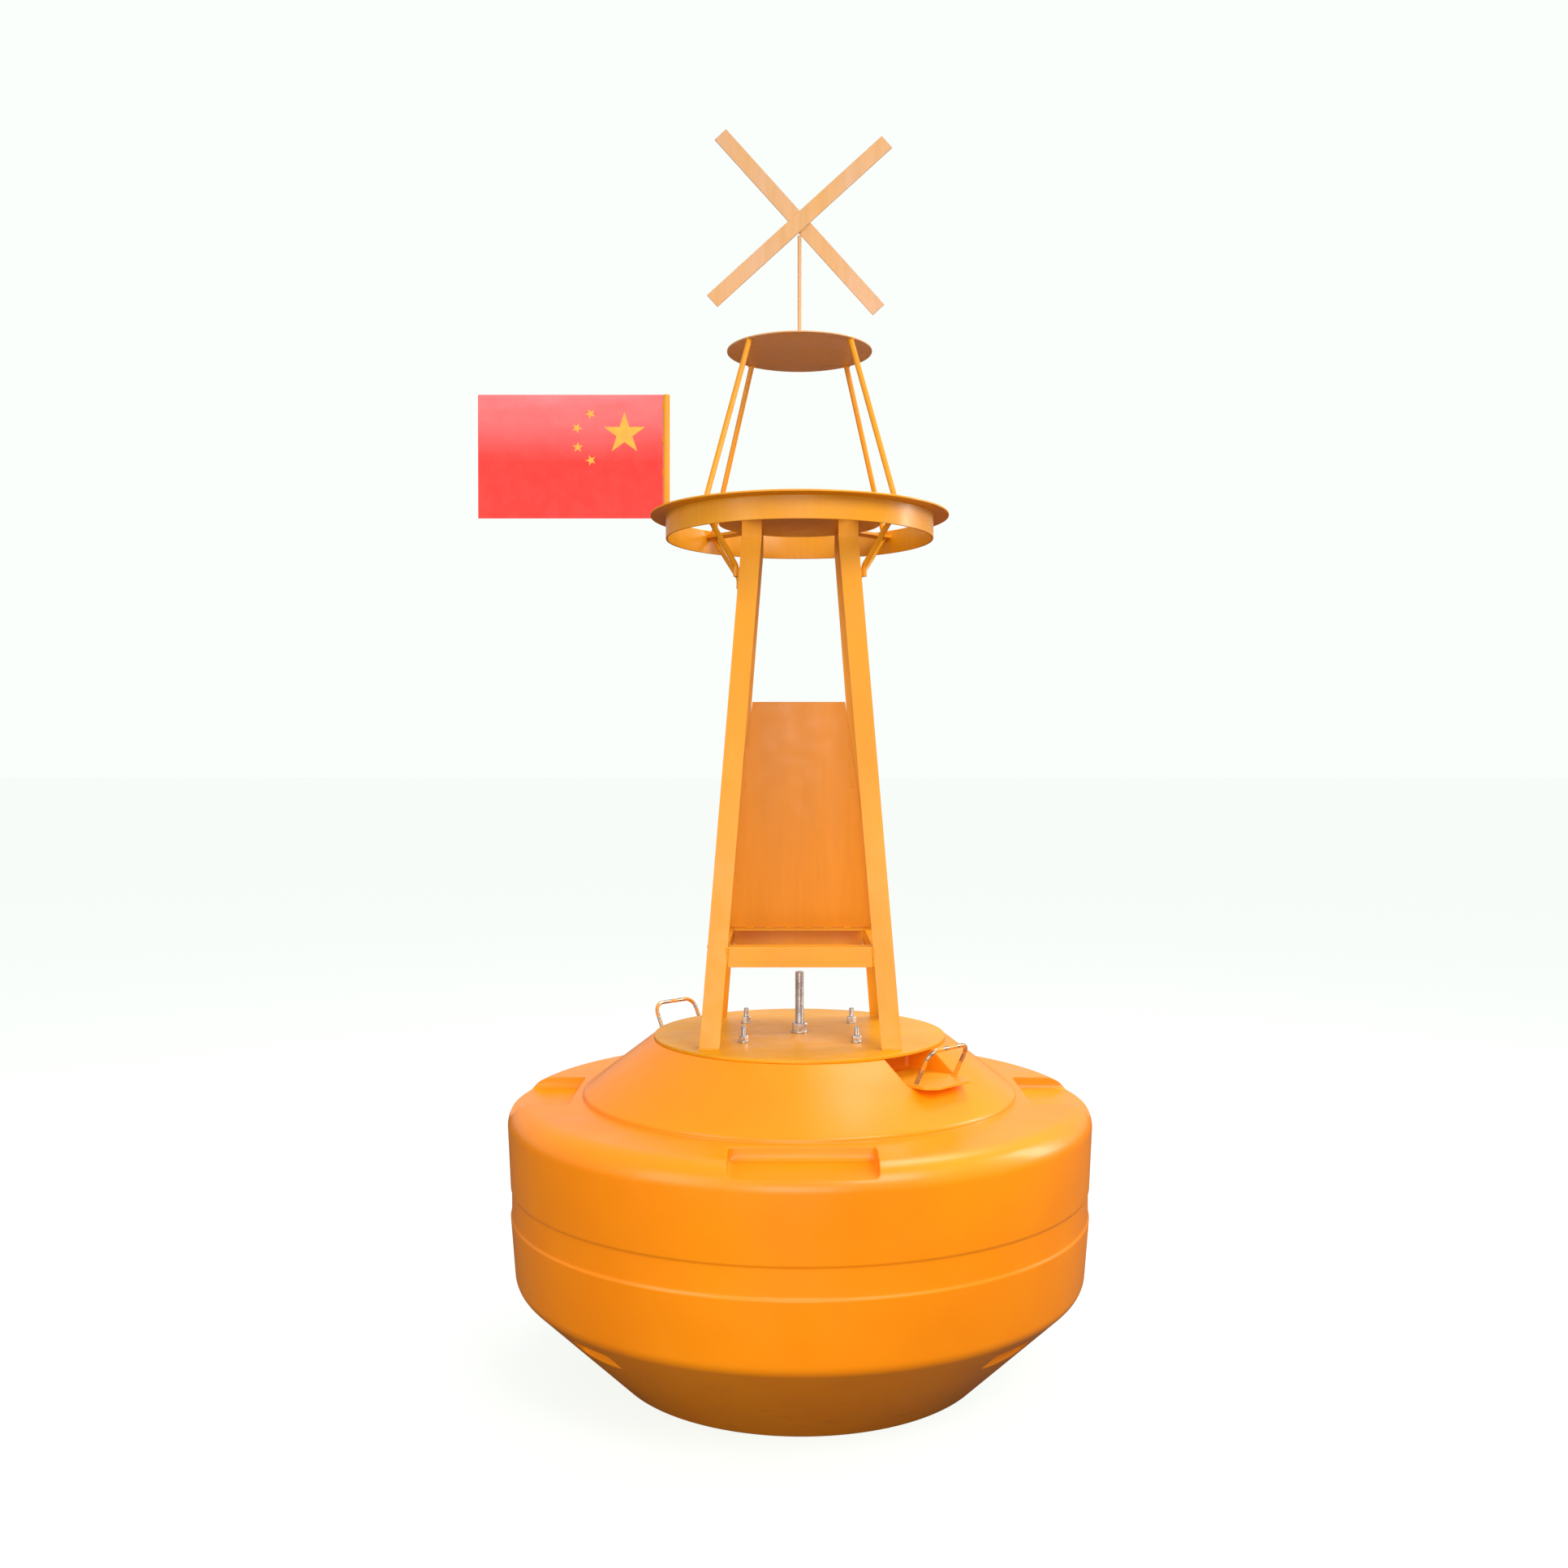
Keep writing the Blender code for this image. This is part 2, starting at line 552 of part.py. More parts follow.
def build_topmark(parts):
    """Two crossed blades, one behind the other, and the pole that ends in their lower notch."""
    centre_z = TOP_DISC_TOP_Z + CROSS_RISE
    blades = (("cross_blade_front", pi / 4, -1), ("cross_blade_rear", -pi / 4, 1))
    for name, turn, side in blades:
        near_y = side * SEAT_GAP / 2
        far_y = near_y + side * CROSS_THICKNESS
        low = (-CROSS_LENGTH / 2, min(near_y, far_y), -CROSS_WIDTH / 2)
        high = (CROSS_LENGTH / 2, max(near_y, far_y), CROSS_WIDTH / 2)
        blade = box_mesh(name, low, high)
        blade.transform(Matrix.Rotation(CROSS_LEAN - turn, 4, "Y"))
        add_part(name, blade, "tower_paint", parts, location=(0, 0, centre_z))
    # The lean brings one blade lower over the pole than the other
    notch_reach = CROSS_WIDTH / sqrt(2)
    notch_z = centre_z - notch_reach * cos(CROSS_LEAN)
    low_side = POLE_RADIUS + SEAT_GAP + notch_reach * sin(CROSS_LEAN)
    pole_top_z = notch_z - low_side / tan(pi / 4 - CROSS_LEAN)
    pole = cylinder_mesh("topmark_pole", POLE_RADIUS, TOP_DISC_TOP_Z + SEAT_GAP, pole_top_z, BAR_STEPS)
    add_part("topmark_pole", pole, "tower_paint", parts)


def build_flag(parts):
    post_radius = RING_OUTER_RADIUS - FLAG_POST_SETBACK
    place = (post_radius * cos(FLAG_POST_AZIMUTH), post_radius * sin(FLAG_POST_AZIMUTH), 0)
    top_z = RING_TOP_Z + FLAG_POST_HEIGHT
    post = cylinder_mesh("flag_post", FLAG_POST_RADIUS, RING_TOP_Z + SEAT_GAP, top_z, SMALL_ROUND_STEPS)
    add_part("flag_post", post, "tower_paint", parts, location=place)
    hoist_x = -FLAG_POST_RADIUS - SEAT_GAP
    flag = box_mesh(
        "flag_plate",
        (hoist_x - FLAG_WIDTH, -FLAG_THICKNESS / 2, top_z - FLAG_HEIGHT),
        (hoist_x, FLAG_THICKNESS / 2, top_z),
    )
    add_part("flag_plate", flag, "flag_paint", parts, location=place)


def build_handles(parts):
    """A tab in each slot of the float, with a bent bar standing on it."""
    half = TAB_WIDTH / 2
    cut_radius = TAB_OUTER_RADIUS - TAB_CORNER_CUT
    outline = [
        (TAB_INNER_RADIUS, -half, TAB_UNDER_Z),
        (cut_radius, -half, TAB_UNDER_Z),
        (TAB_OUTER_RADIUS, TAB_CORNER_CUT - half, TAB_UNDER_Z),
        (TAB_OUTER_RADIUS, half - TAB_CORNER_CUT, TAB_UNDER_Z),
        (cut_radius, half, TAB_UNDER_Z),
        (TAB_INNER_RADIUS, half, TAB_UNDER_Z),
    ]
    tab = prism_mesh("lifting_tab", outline, (0, 0, TAB_THICKNESS))
    foot_x = TAB_OUTER_RADIUS - HANDLE_SETBACK
    foot_z = TAB_TOP_Z + SEAT_GAP + HANDLE_BAR_RADIUS * sin(HANDLE_LEAN)
    grip_x = foot_x + HANDLE_RISE * sin(HANDLE_LEAN)
    grip_z = foot_z + HANDLE_RISE * cos(HANDLE_LEAN)
    side = half - HANDLE_SIDE_MARGIN
    route = [(foot_x, -side, foot_z), (grip_x, -side, grip_z), (grip_x, side, grip_z), (foot_x, side, foot_z)]
    handle = mesh_from("lifting_handle", bar_shape(route, HANDLE_BAR_RADIUS, HANDLE_BEND))
    for corner, azimuth in HANDLES:
        add_part(f"lifting_tab_{corner}", tab.copy(), "tower_paint", parts, azimuth=azimuth)
        add_part(f"lifting_handle_{corner}", handle.copy(), "zinc_steel", parts, azimuth=azimuth)


def shade_round_pieces(parts):
    for part in parts.objects:
        part.data.shade_smooth()
        part.data.set_sharp_from_angle(angle=radians(30))


def main():
    clear_scene()
    parts = make_collection("navigation_buoy")
    cutters = make_collection("cutters")
    build_float(parts, cutters)
    build_base_plate(parts, cutters)
    build_tie_rod(parts, cutters)
    build_legs(parts)
    build_frame(parts)
    build_day_mark(parts)
    build_platform(parts)
    build_braces(parts)
    build_cage(parts)
    build_topmark(parts)
    build_flag(parts)
    build_handles(parts)
    shade_round_pieces(parts)


main()
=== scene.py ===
"""Looks of the navigation buoy: finishes, turned and bent steel, studs, weld beads, flag, floor and light.

Metres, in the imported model's frame: +Z up, the tower's open front faces -Y.
"""

from math import atan2, ceil, cos, pi, radians, sin, sqrt, tan

import bmesh
import bpy
from mathutils import Matrix, Vector, noise


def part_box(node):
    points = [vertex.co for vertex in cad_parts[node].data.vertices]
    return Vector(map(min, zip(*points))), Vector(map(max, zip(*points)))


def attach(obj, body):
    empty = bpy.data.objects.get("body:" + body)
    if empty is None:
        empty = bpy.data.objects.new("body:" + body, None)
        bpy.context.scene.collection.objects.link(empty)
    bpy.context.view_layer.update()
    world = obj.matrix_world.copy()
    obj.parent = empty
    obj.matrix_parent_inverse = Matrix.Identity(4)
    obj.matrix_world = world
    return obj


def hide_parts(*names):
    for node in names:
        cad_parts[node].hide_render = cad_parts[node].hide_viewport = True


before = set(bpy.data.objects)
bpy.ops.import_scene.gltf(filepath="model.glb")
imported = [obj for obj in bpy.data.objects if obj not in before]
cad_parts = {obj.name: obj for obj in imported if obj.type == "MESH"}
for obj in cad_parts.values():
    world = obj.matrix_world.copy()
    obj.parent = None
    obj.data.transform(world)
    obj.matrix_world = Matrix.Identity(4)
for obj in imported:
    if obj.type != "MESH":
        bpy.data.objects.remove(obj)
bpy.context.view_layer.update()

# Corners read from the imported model
FLOAT_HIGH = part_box("float")[1]
BASE_LOW, BASE_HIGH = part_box("base_plate")
RING_LOW, RING_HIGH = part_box("platform_ring")
PLATE_LOW, PLATE_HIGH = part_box("lantern_plate")
DISC_LOW, DISC_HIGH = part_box("top_disc")
TIE_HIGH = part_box("tie_rod")[1]
TAB_LOW, TAB_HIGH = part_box("lifting_tab_front_right")
ARM_LOW, ARM_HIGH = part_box("platform_arm_front_right")
LEG_LOW, LEG_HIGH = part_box("leg_rear_right")
BEAM_LOW, BEAM_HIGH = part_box("frame_beam_rear")
PANEL_LOW, PANEL_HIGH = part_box("day_mark_panel")
FLAG_LOW, FLAG_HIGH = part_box("flag_plate")
POST_LOW, POST_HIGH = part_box("flag_post")
POLE_LOW, POLE_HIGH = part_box("topmark_pole")
SEAT_GAP = 0.0003

# Float sizes that repeat the model's own
FLOAT_RADIUS = FLOAT_HIGH.x
CONE_TOP_Z = FLOAT_HIGH.z
CONE_TOP_RADIUS = BASE_HIGH.x + 0.007
CHINE = (FLOAT_RADIUS - 0.0195, 0.247)
CHINE_ROUNDING = 0.045
BELT_RADIUS = FLOAT_RADIUS - 0.007
BELT_BOTTOM_Z = CHINE[1] + 0.161
BELT_TOP_Z = BELT_BOTTOM_Z + 0.075
BELT_ROUNDING = 0.004
GROOVE_DEPTH = 0.003
GROOVE_SLOPE = 0.006
RIM_Z = BELT_TOP_Z + 0.151
RIM_ROUNDING = 0.058
DECK_Z = RIM_Z + 0.060
DECK_INNER_Z = DECK_Z + 0.003
CONE_FOOT = (FLOAT_RADIUS - 0.190, DECK_Z + 0.014)
CONE_FOOT_ROUNDING = 0.012
BOTTOM_RADIUS = 0.477
POCKET_SETBACK = 0.020
POCKET_HALF = 0.165
POCKET_DEPTH = 0.030
POCKET_ROUNDING = 0.012
SLOT_INNER_RADIUS = 0.290
SLOT_HALF = 0.090
SLOT_ROUNDING = 0.010
NOTCH_DEPTH = 0.0855
NOTCH_HALF = 0.070
NOTCH_HEIGHT = 0.212
NOTCH_ROUNDING = 0.012
CUTTER_REACH = 0.06
BUNG_RADIUS = 0.005
BUNG_X = -0.021
BUNG_SINK = 0.0018
BUNG_RISE = 0.020  # above the chine

# Steel sizes that repeat the model's own
ANGLE_SIDE = 0.050
ANGLE_WALL = 0.005
LEG_UPRIGHT = 0.054
LEG_HEAD_INSET = 0.0024
RING_BORE = 0.342
RING_WALL = 0.005
ARM_HALF = 0.020
ROD_RADIUS = 0.007
ROD_FOOT_RADIUS = RING_BORE - 0.0082
ROD_HEAD_RADIUS = DISC_HIGH.x - 0.009
BRACE_RADIUS = 0.007
BRACE_STUB = 0.028
BRACE_BEND = 0.020
BRACE_HEAD_SETBACK = 0.0105
POST_CENTRE = ((POST_LOW.x + POST_HIGH.x) / 2, (POST_LOW.y + POST_HIGH.y) / 2)
HANDLE_RADIUS = 0.0052
HANDLE_FOOT_RADIUS = 0.457
HANDLE_HALF_WIDTH = 0.072
HANDLE_RISE = 0.093
HANDLE_BEND = 0.030
HANDLE_LEAN = radians(28)
CROSS_LEAN = radians(2.8)
CROSS_WIDTH = 0.040
CROSS_CENTRE_Z = DISC_HIGH.z + 0.335

# Fasteners: (stud radius, pitch, height above the plate, across flats, nut height, washer radius)
STUD_SIZES = (0.0066, 0.00175, 0.040, 0.0215, 0.013, 0.0135)
STUD_SPREAD = 0.1425
TIE_RADIUS = 0.0115
TIE_CLEARANCE = 0.001
WASHER_THICKNESS = 0.0035

# Stars, as (distance from the hoist, distance below the top)
BIG_STAR = (0.103, 0.104)
BIG_STAR_RADIUS = 0.058
SMALL_STARS = ((0.194, 0.051), (0.230, 0.089), (0.228, 0.140), (0.193, 0.175))
SMALL_STAR_RADIUS = 0.0150
STAR_DEPTH = 0.0003

# (name, azimuth in degrees from +X)
CORNERS = (("front_left", 225), ("front_right", 315), ("rear_right", 45), ("rear_left", 135))
HANDLES = (("front_right", 315), ("rear_left", 135))
SIDES = (0, 90, 180, 270)

PALE = (0.957, 1.0, 0.965, 1.0)  # colour of floor and backdrop
FINE_STEPS = 256
BAR_SIDES = 24
NUT_STEPS = 24

# Weld beads: radii, and the spacing of their rings
BEAM_BEAD = 0.0034
LEG_FOOT_BEAD = 0.0032
ARM_BEAD = 0.0028
LEG_HEAD_BEAD = 0.0026
EDGE_BEAD = 0.0024
BAR_BEAD = 0.0022
SMALL_BEAD = 0.0020
TOPMARK_BEAD = 0.0018
BEAD_STEP = 0.0022
STITCH_LENGTH = 0.022


# Shader helpers

def new_material(name):
    material = bpy.data.materials.new(name)
    material.use_nodes = True
    tree = material.node_tree
    return material, tree, tree.nodes["Principled BSDF"]


def noise_value(tree, scale, detail=4.0, stretch=(1, 1, 1)):
    """Noise over the object's own coordinates, in metres."""
    place = tree.nodes.new("ShaderNodeTexCoord")
    mapping = tree.nodes.new("ShaderNodeMapping")
    mapping.inputs["Scale"].default_value = stretch
    texture = tree.nodes.new("ShaderNodeTexNoise")
    texture.inputs["Scale"].default_value = scale
    texture.inputs["Detail"].default_value = detail
    tree.links.new(place.outputs["Object"], mapping.inputs["Vector"])
    tree.links.new(mapping.outputs["Vector"], texture.inputs["Vector"])
    return texture.outputs["Fac"]


def remap(tree, value, low, high, to_low=0.0, to_high=1.0):
    node = tree.nodes.new("ShaderNodeMapRange")
    node.inputs["From Min"].default_value = low
    node.inputs["From Max"].default_value = high
    node.inputs["To Min"].default_value = to_low
    node.inputs["To Max"].default_value = to_high
    tree.links.new(value, node.inputs["Value"])
    return node.outputs["Result"]


def multiply(tree, first, second):
    node = tree.nodes.new("ShaderNodeMath")
    node.operation = "MULTIPLY"
    tree.links.new(first, node.inputs[0])
    tree.links.new(second, node.inputs[1])
    return node.outputs[0]


def mix_colour(tree, factor, first, second):
    """A colour between two, each a tuple or a socket."""
    node = tree.nodes.new("ShaderNodeMix")
    node.data_type = "RGBA"
    tree.links.new(factor, node.inputs[0])
    for socket, colour in ((node.inputs[6], first), (node.inputs[7], second)):
        if isinstance(colour, tuple):
            socket.default_value = (*colour, 1.0)
        else:
            tree.links.new(colour, socket)
    return node.outputs[2]


def rounded_normal(tree, shader, bevel_radius, bumps):
    """Rounds the edges' shading, then adds (value, strength, distance) bumps, and gives back an edge mask
    that some finishes use for a painted highlight on edges.
    """
    bevel = tree.nodes.new("ShaderNodeBevel")
    bevel.samples = 6
    bevel.inputs["Radius"].default_value = bevel_radius
    normal = bevel.outputs["Normal"]
    for value, strength, distance in bumps:
        bump = tree.nodes.new("ShaderNodeBump")
        bump.inputs["Strength"].default_value = strength
        bump.inputs["Distance"].default_value = distance
        tree.links.new(value, bump.inputs["Height"])
        tree.links.new(normal, bump.inputs["Normal"])
        normal = bump.outputs["Normal"]
    tree.links.new(normal, shader.inputs["Normal"])
    geometry = tree.nodes.new("ShaderNodeNewGeometry")
    dot = tree.nodes.new("ShaderNodeVectorMath")
    dot.operation = "DOT_PRODUCT"
    tree.links.new(bevel.outputs["Normal"], dot.inputs[0])
    tree.links.new(geometry.outputs["Normal"], dot.inputs[1])
    return remap(tree, dot.outputs["Value"], 1.0, 0.75)


def height_value(tree, low, high):
    """0 at the low level and 1 at the high one."""
    place = tree.nodes.new("ShaderNodeTexCoord")
    split = tree.nodes.new("ShaderNodeSeparateXYZ")
    tree.links.new(place.outputs["Object"], split.inputs["Vector"])
    return remap(tree, split.outputs["Z"], low, high)


def float_skin():
    """Moulded polyethylene: glossy, with a faint orange peel, cloudy pigment, darker brown streaks low down
    and painted highlights on edges.
    """
    material, tree, shader = new_material("float_skin")
    cloud = remap(tree, noise_value(tree, 2.6, 3.0), 0.35, 0.7)
    colour = mix_colour(tree, cloud, (1.0, 0.290, 0.002), (0.95, 0.250, 0.001))
    speckle = remap(tree, noise_value(tree, 240.0, 2.0), 0.60, 0.78, 0.0, 0.25)
    colour = mix_colour(tree, speckle, colour, (1.0, 0.36, 0.01))
    # Darker brown streaks, stronger towards the bottom of the float.
    low_streaks = remap(tree, noise_value(tree, 14.0, 8.0, (1, 1, 5)), 0.62, 0.74, 0.0, 0.55)
    low = remap(tree, height_value(tree, 0.30, 0.0), 0.0, 1.0)
    colour = mix_colour(tree, multiply(tree, low_streaks, low), colour, (0.42, 0.16, 0.03))
    peel = noise_value(tree, 190.0, 2.0)
    swell = noise_value(tree, 5.0, 2.0)
    edge = rounded_normal(tree, shader, 0.006, ((swell, 0.35, 0.006), (peel, 0.12, 0.0004)))
    # Painted highlight: the edges are mixed toward a paler orange.
    colour = mix_colour(tree, remap(tree, edge, 0.0, 1.0, 0.0, 0.35), colour, (1.0, 0.44, 0.07))
    tree.links.new(colour, shader.inputs["Base Color"])
    rough = remap(tree, noise_value(tree, 9.0, 5.0), 0.3, 0.75, 0.27, 0.40)
    tree.links.new(rough, shader.inputs["Roughness"])
    shader.inputs["IOR"].default_value = 1.49
    shader.inputs["Specular IOR Level"].default_value = 0.36
    shader.inputs["Coat Weight"].default_value = 0.08
    shader.inputs["Coat Roughness"].default_value = 0.12
    return material


def steel_paint(name, main, shade, edge_highlight_colour):
    """Brushed enamel on steel: streaks along the member, slight sags, and a painted highlight that lightens
    the edges.
    """
    material, tree, shader = new_material(name)
    cloud = remap(tree, noise_value(tree, 6.0, 5.0, (1, 1, 0.35)), 0.32, 0.70)
    colour = mix_colour(tree, cloud, main, shade)
    streak = remap(tree, noise_value(tree, 70.0, 3.0, (1, 1, 0.06)), 0.40, 0.72, 0.0, 0.45)
    colour = mix_colour(tree, streak, colour, tuple(0.86 * part for part in main))
    sags = noise_value(tree, 60.0, 3.0, (1, 1, 0.25))
    peel = noise_value(tree, 260.0, 2.0)
    edge = rounded_normal(tree, shader, 0.0016, ((sags, 0.22, 0.0010), (peel, 0.05, 0.0002)))
    # Painted highlight: the edges are mixed toward the paler edge colour.
    edge_highlight = remap(tree, edge, 0.0, 1.0, 0.0, 0.55)
    colour = mix_colour(tree, edge_highlight, colour, edge_highlight_colour)
    tree.links.new(colour, shader.inputs["Base Color"])
    rough = remap(tree, noise_value(tree, 22.0, 4.0), 0.3, 0.7, 0.30, 0.46)
    tree.links.new(rough, shader.inputs["Roughness"])
    shader.inputs["Specular IOR Level"].default_value = 0.34
    shader.inputs["Coat Weight"].default_value = 0.08
    shader.inputs["Coat Roughness"].default_value = 0.18
    return material


def bare_steel(name, tint, rough_low, rough_high):
    """Bright steel with fine turning marks and a little staining."""
    material, tree, shader = new_material(name)
    stain = remap(tree, noise_value(tree, 55.0, 5.0), 0.45, 0.75, 0.0, 0.6)
    colour = mix_colour(tree, stain, tint, tuple(0.62 * part for part in tint))
    tree.links.new(colour, shader.inputs["Base Color"])
    marks = noise_value(tree, 900.0, 2.0, (1, 1, 3))
    rounded_normal(tree, shader, 0.0006, ((marks, 0.15, 0.0002),))
    rough = remap(tree, noise_value(tree, 130.0, 3.0), 0.3, 0.7, rough_low, rough_high)
    tree.links.new(rough, shader.inputs["Roughness"])
    shader.inputs["Metallic"].default_value = 1.0
    return material


def worn_handle():
    """Amber paint worn through to grey-brown steel in patches."""
    material, tree, shader = new_material("handle_finish")
    bare = remap(tree, noise_value(tree, 38.0, 6.0), 0.47, 0.56)
    colour = mix_colour(tree, bare, (0.78, 0.30, 0.02), (0.40, 0.31, 0.22))
    tree.links.new(colour, shader.inputs["Base Color"])
    tree.links.new(remap(tree, bare, 0.0, 1.0, 0.0, 0.85), shader.inputs["Metallic"])
    tree.links.new(remap(tree, bare, 0.0, 1.0, 0.34, 0.26), shader.inputs["Roughness"])
    rounded_normal(tree, shader, 0.0008, ((bare, 0.25, 0.0003),))
    return material


def flag_red():
    """Glossy red sheet, with a painted reflection that makes its upper part paler and a painted highlight on
    its edges.
    """
    material, tree, shader = new_material("flag_red")
    # Painted reflection: the upper part is mixed toward a pale pink.
    upper = height_value(tree, FLAG_LOW.z + 0.15, FLAG_HIGH.z)
    reflection_band = remap(tree, noise_value(tree, 5.0, 3.0, (1, 1, 2.5)), 0.3, 0.7, 0.55, 1.0)
    colour = mix_colour(tree, multiply(tree, upper, reflection_band), (0.93, 0.032, 0.022), (0.84, 0.26, 0.27))
    ripple = noise_value(tree, 8.0, 2.0)
    edge = rounded_normal(tree, shader, 0.0012, ((ripple, 0.25, 0.002),))
    # Painted highlight: the edges are mixed toward a paler red.
    colour = mix_colour(tree, remap(tree, edge, 0.0, 1.0, 0.0, 0.5), colour, (0.86, 0.45, 0.40))
    tree.links.new(colour, shader.inputs["Base Color"])
    rough = remap(tree, noise_value(tree, 30.0, 3.0), 0.3, 0.7, 0.20, 0.32)
    tree.links.new(rough, shader.inputs["Roughness"])
    shader.inputs["Coat Weight"].default_value = 0.35
    return material


def star_yellow():
    material, tree, shader = new_material("star_yellow")
    cloud = remap(tree, noise_value(tree, 60.0, 3.0), 0.3, 0.7)
    colour = mix_colour(tree, cloud, (0.90, 0.48, 0.05), (0.82, 0.38, 0.04))
    tree.links.new(colour, shader.inputs["Base Color"])
    tree.links.new(remap(tree, cloud, 0.0, 1.0, 0.28, 0.38), shader.inputs["Roughness"])
    return material


def dark_plug():
    material, tree, shader = new_material("bung_dark")
    cloud = remap(tree, noise_value(tree, 300.0, 3.0), 0.3, 0.7)
    colour = mix_colour(tree, cloud, (0.06, 0.03, 0.015), (0.12, 0.05, 0.02))
    tree.links.new(colour, shader.inputs["Base Color"])
    tree.links.new(remap(tree, cloud, 0.0, 1.0, 0.5, 0.7), shader.inputs["Roughness"])
    return material


FLOAT_SKIN = float_skin()
# Each paint's last colour is the paler one of its painted edge highlight.
AMBER = steel_paint("tower_amber", (0.84, 0.335, 0.006), (0.74, 0.275, 0.004), (0.93, 0.48, 0.05))
PLATE_AMBER = steel_paint("plate_amber", (0.82, 0.36, 0.004), (0.70, 0.29, 0.003), (0.92, 0.52, 0.08))
PANEL_AMBER = steel_paint("panel_amber", (0.80, 0.275, 0.006), (0.70, 0.235, 0.005), (0.92, 0.46, 0.06))
FADED_AMBER = steel_paint("faded_amber", (0.71, 0.36, 0.11), (0.68, 0.41, 0.26), (0.80, 0.52, 0.30))
STAINLESS = bare_steel("stainless", (0.66, 0.64, 0.61), 0.22, 0.38)
HANDLE_FINISH = worn_handle()
FLAG_RED = flag_red()
STAR_YELLOW = star_yellow()
BUNG_DARK = dark_plug()


# Mesh helpers

def add_piece(name, mesh, material, nodes=()):
    piece = bpy.data.objects.new(name, mesh)
    bpy.context.scene.collection.objects.link(piece)
    piece.data.materials.clear()
    piece.data.materials.append(material)
    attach(piece, "root")
    if nodes:
        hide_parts(*nodes)
    return piece


def smooth(mesh, angle):
    mesh.shade_smooth()
    mesh.set_sharp_from_angle(angle=radians(angle))
    return mesh


def mesh_of(name, shape, angle):
    """A smoothly shaded mesh made from a bmesh, which is then freed."""
    mesh = bpy.data.meshes.new(name)
    shape.to_mesh(mesh)
    shape.free()
    return smooth(mesh, angle)


def join_rings(shape, rings, closed=False):
    """Faces between rings that have the same number of vertices."""
    after_rings = rings[1:] + rings[:1] if closed else rings[1:]
    for first, second in zip(rings, after_rings):
        for step in range(len(first)):
            after = (step + 1) % len(first)
            shape.faces.new((first[step], first[after], second[after], second[step]))


def arc(before, corner, after, rounding, steps):
    """Points that round a corner between two straight runs, in any plane."""
    before, corner, after = Vector(before), Vector(corner), Vector(after)
    back, ahead = (before - corner).normalized(), (after - corner).normalized()
    half = back.angle(ahead) / 2
    centre = corner + (back + ahead).normalized() * rounding / sin(half)
    start = corner + back * rounding / tan(half) - centre
    end = corner + ahead * rounding / tan(half) - centre
    axis = start.cross(end)
    sweep = start.angle(end)
    return [centre + Matrix.Rotation(sweep * step / steps, 3, axis) @ start for step in range(steps + 1)]


def rounded_profile(corners, closed=False):
    """(radius, z, rounding) corners as (radius, z) points, with an arc at each corner that has a rounding."""
    count = len(corners)
    points = []
    for index, (radius, z, rounding) in enumerate(corners):
        if rounding == 0 or (not closed and index in (0, count - 1)):
            points.append((radius, z))
            continue
        before, after = corners[index - 1], corners[(index + 1) % count]
        bend = arc((before[0], 0, before[1]), (radius, 0, z), (after[0], 0, after[1]), rounding, 6)
        points.extend((point.x, point.z) for point in bend)
    return points


def turned_mesh(name, points, steps=FINE_STEPS, closed=False, centre=(0, 0)):
    """(radius, z) points turned about a vertical axis. An end on the axis is one vertex."""
    shape = bmesh.new()
    rings = []
    for radius, z in points:
        if radius < 1e-6:
            rings.append([shape.verts.new((centre[0], centre[1], z))])
            continue
        ring = []
        for step in range(steps):
            angle = 2 * pi * step / steps
            x, y = centre[0] + radius * cos(angle), centre[1] + radius * sin(angle)
            ring.append(shape.verts.new((x, y, z)))
        rings.append(ring)
    pairs = list(zip(rings, rings[1:]))
    if closed:
        pairs.append((rings[-1], rings[0]))
    for upper, lower in pairs:
        for step in range(steps):
            after = (step + 1) % steps
            if len(upper) == 1:
                shape.faces.new((upper[0], lower[step], lower[after]))
            elif len(lower) == 1:
                shape.faces.new((upper[step], lower[0], upper[after]))
            else:
                shape.faces.new((upper[step], lower[step], lower[after], upper[after]))
    bmesh.ops.recalc_face_normals(shape, faces=shape.faces)
    return mesh_of(name, shape, 35)


def tube_into(shape, route, radius, sides=BAR_SIDES, lumps=0.0):
    """Adds a capped tube along a route. Lumps vary its radius, as a weld's ripples do."""
    route = [Vector(point) for point in route]
    rings = []
    across = None
    for index, point in enumerate(route):
        ahead = route[min(index + 1, len(route) - 1)] - route[max(index - 1, 0)]
        ahead.normalize()
        if across is None:
            across = ahead.orthogonal().normalized()
        across = (across - ahead * across.dot(ahead)).normalized()
        other = ahead.cross(across)
        swell = radius * (1 + lumps * noise.noise(point * 400)) if lumps else radius
        if lumps and index in (0, len(route) - 1):
            swell = radius * 0.35
        ring = []
        for side in range(sides):
            turn = 2 * pi * side / sides
            ring.append(shape.verts.new(point + swell * (across * cos(turn) + other * sin(turn))))
        rings.append(ring)
    join_rings(shape, rings)
    shape.faces.new(reversed(rings[0]))
    shape.faces.new(rings[-1])


def tube_mesh(name, route, radius, sides=BAR_SIDES):
    shape = bmesh.new()
    tube_into(shape, route, radius, sides)
    return mesh_of(name, shape, 50)


def turn_z(point, azimuth):
    return Matrix.Rotation(radians(azimuth), 3, "Z") @ Vector(point)


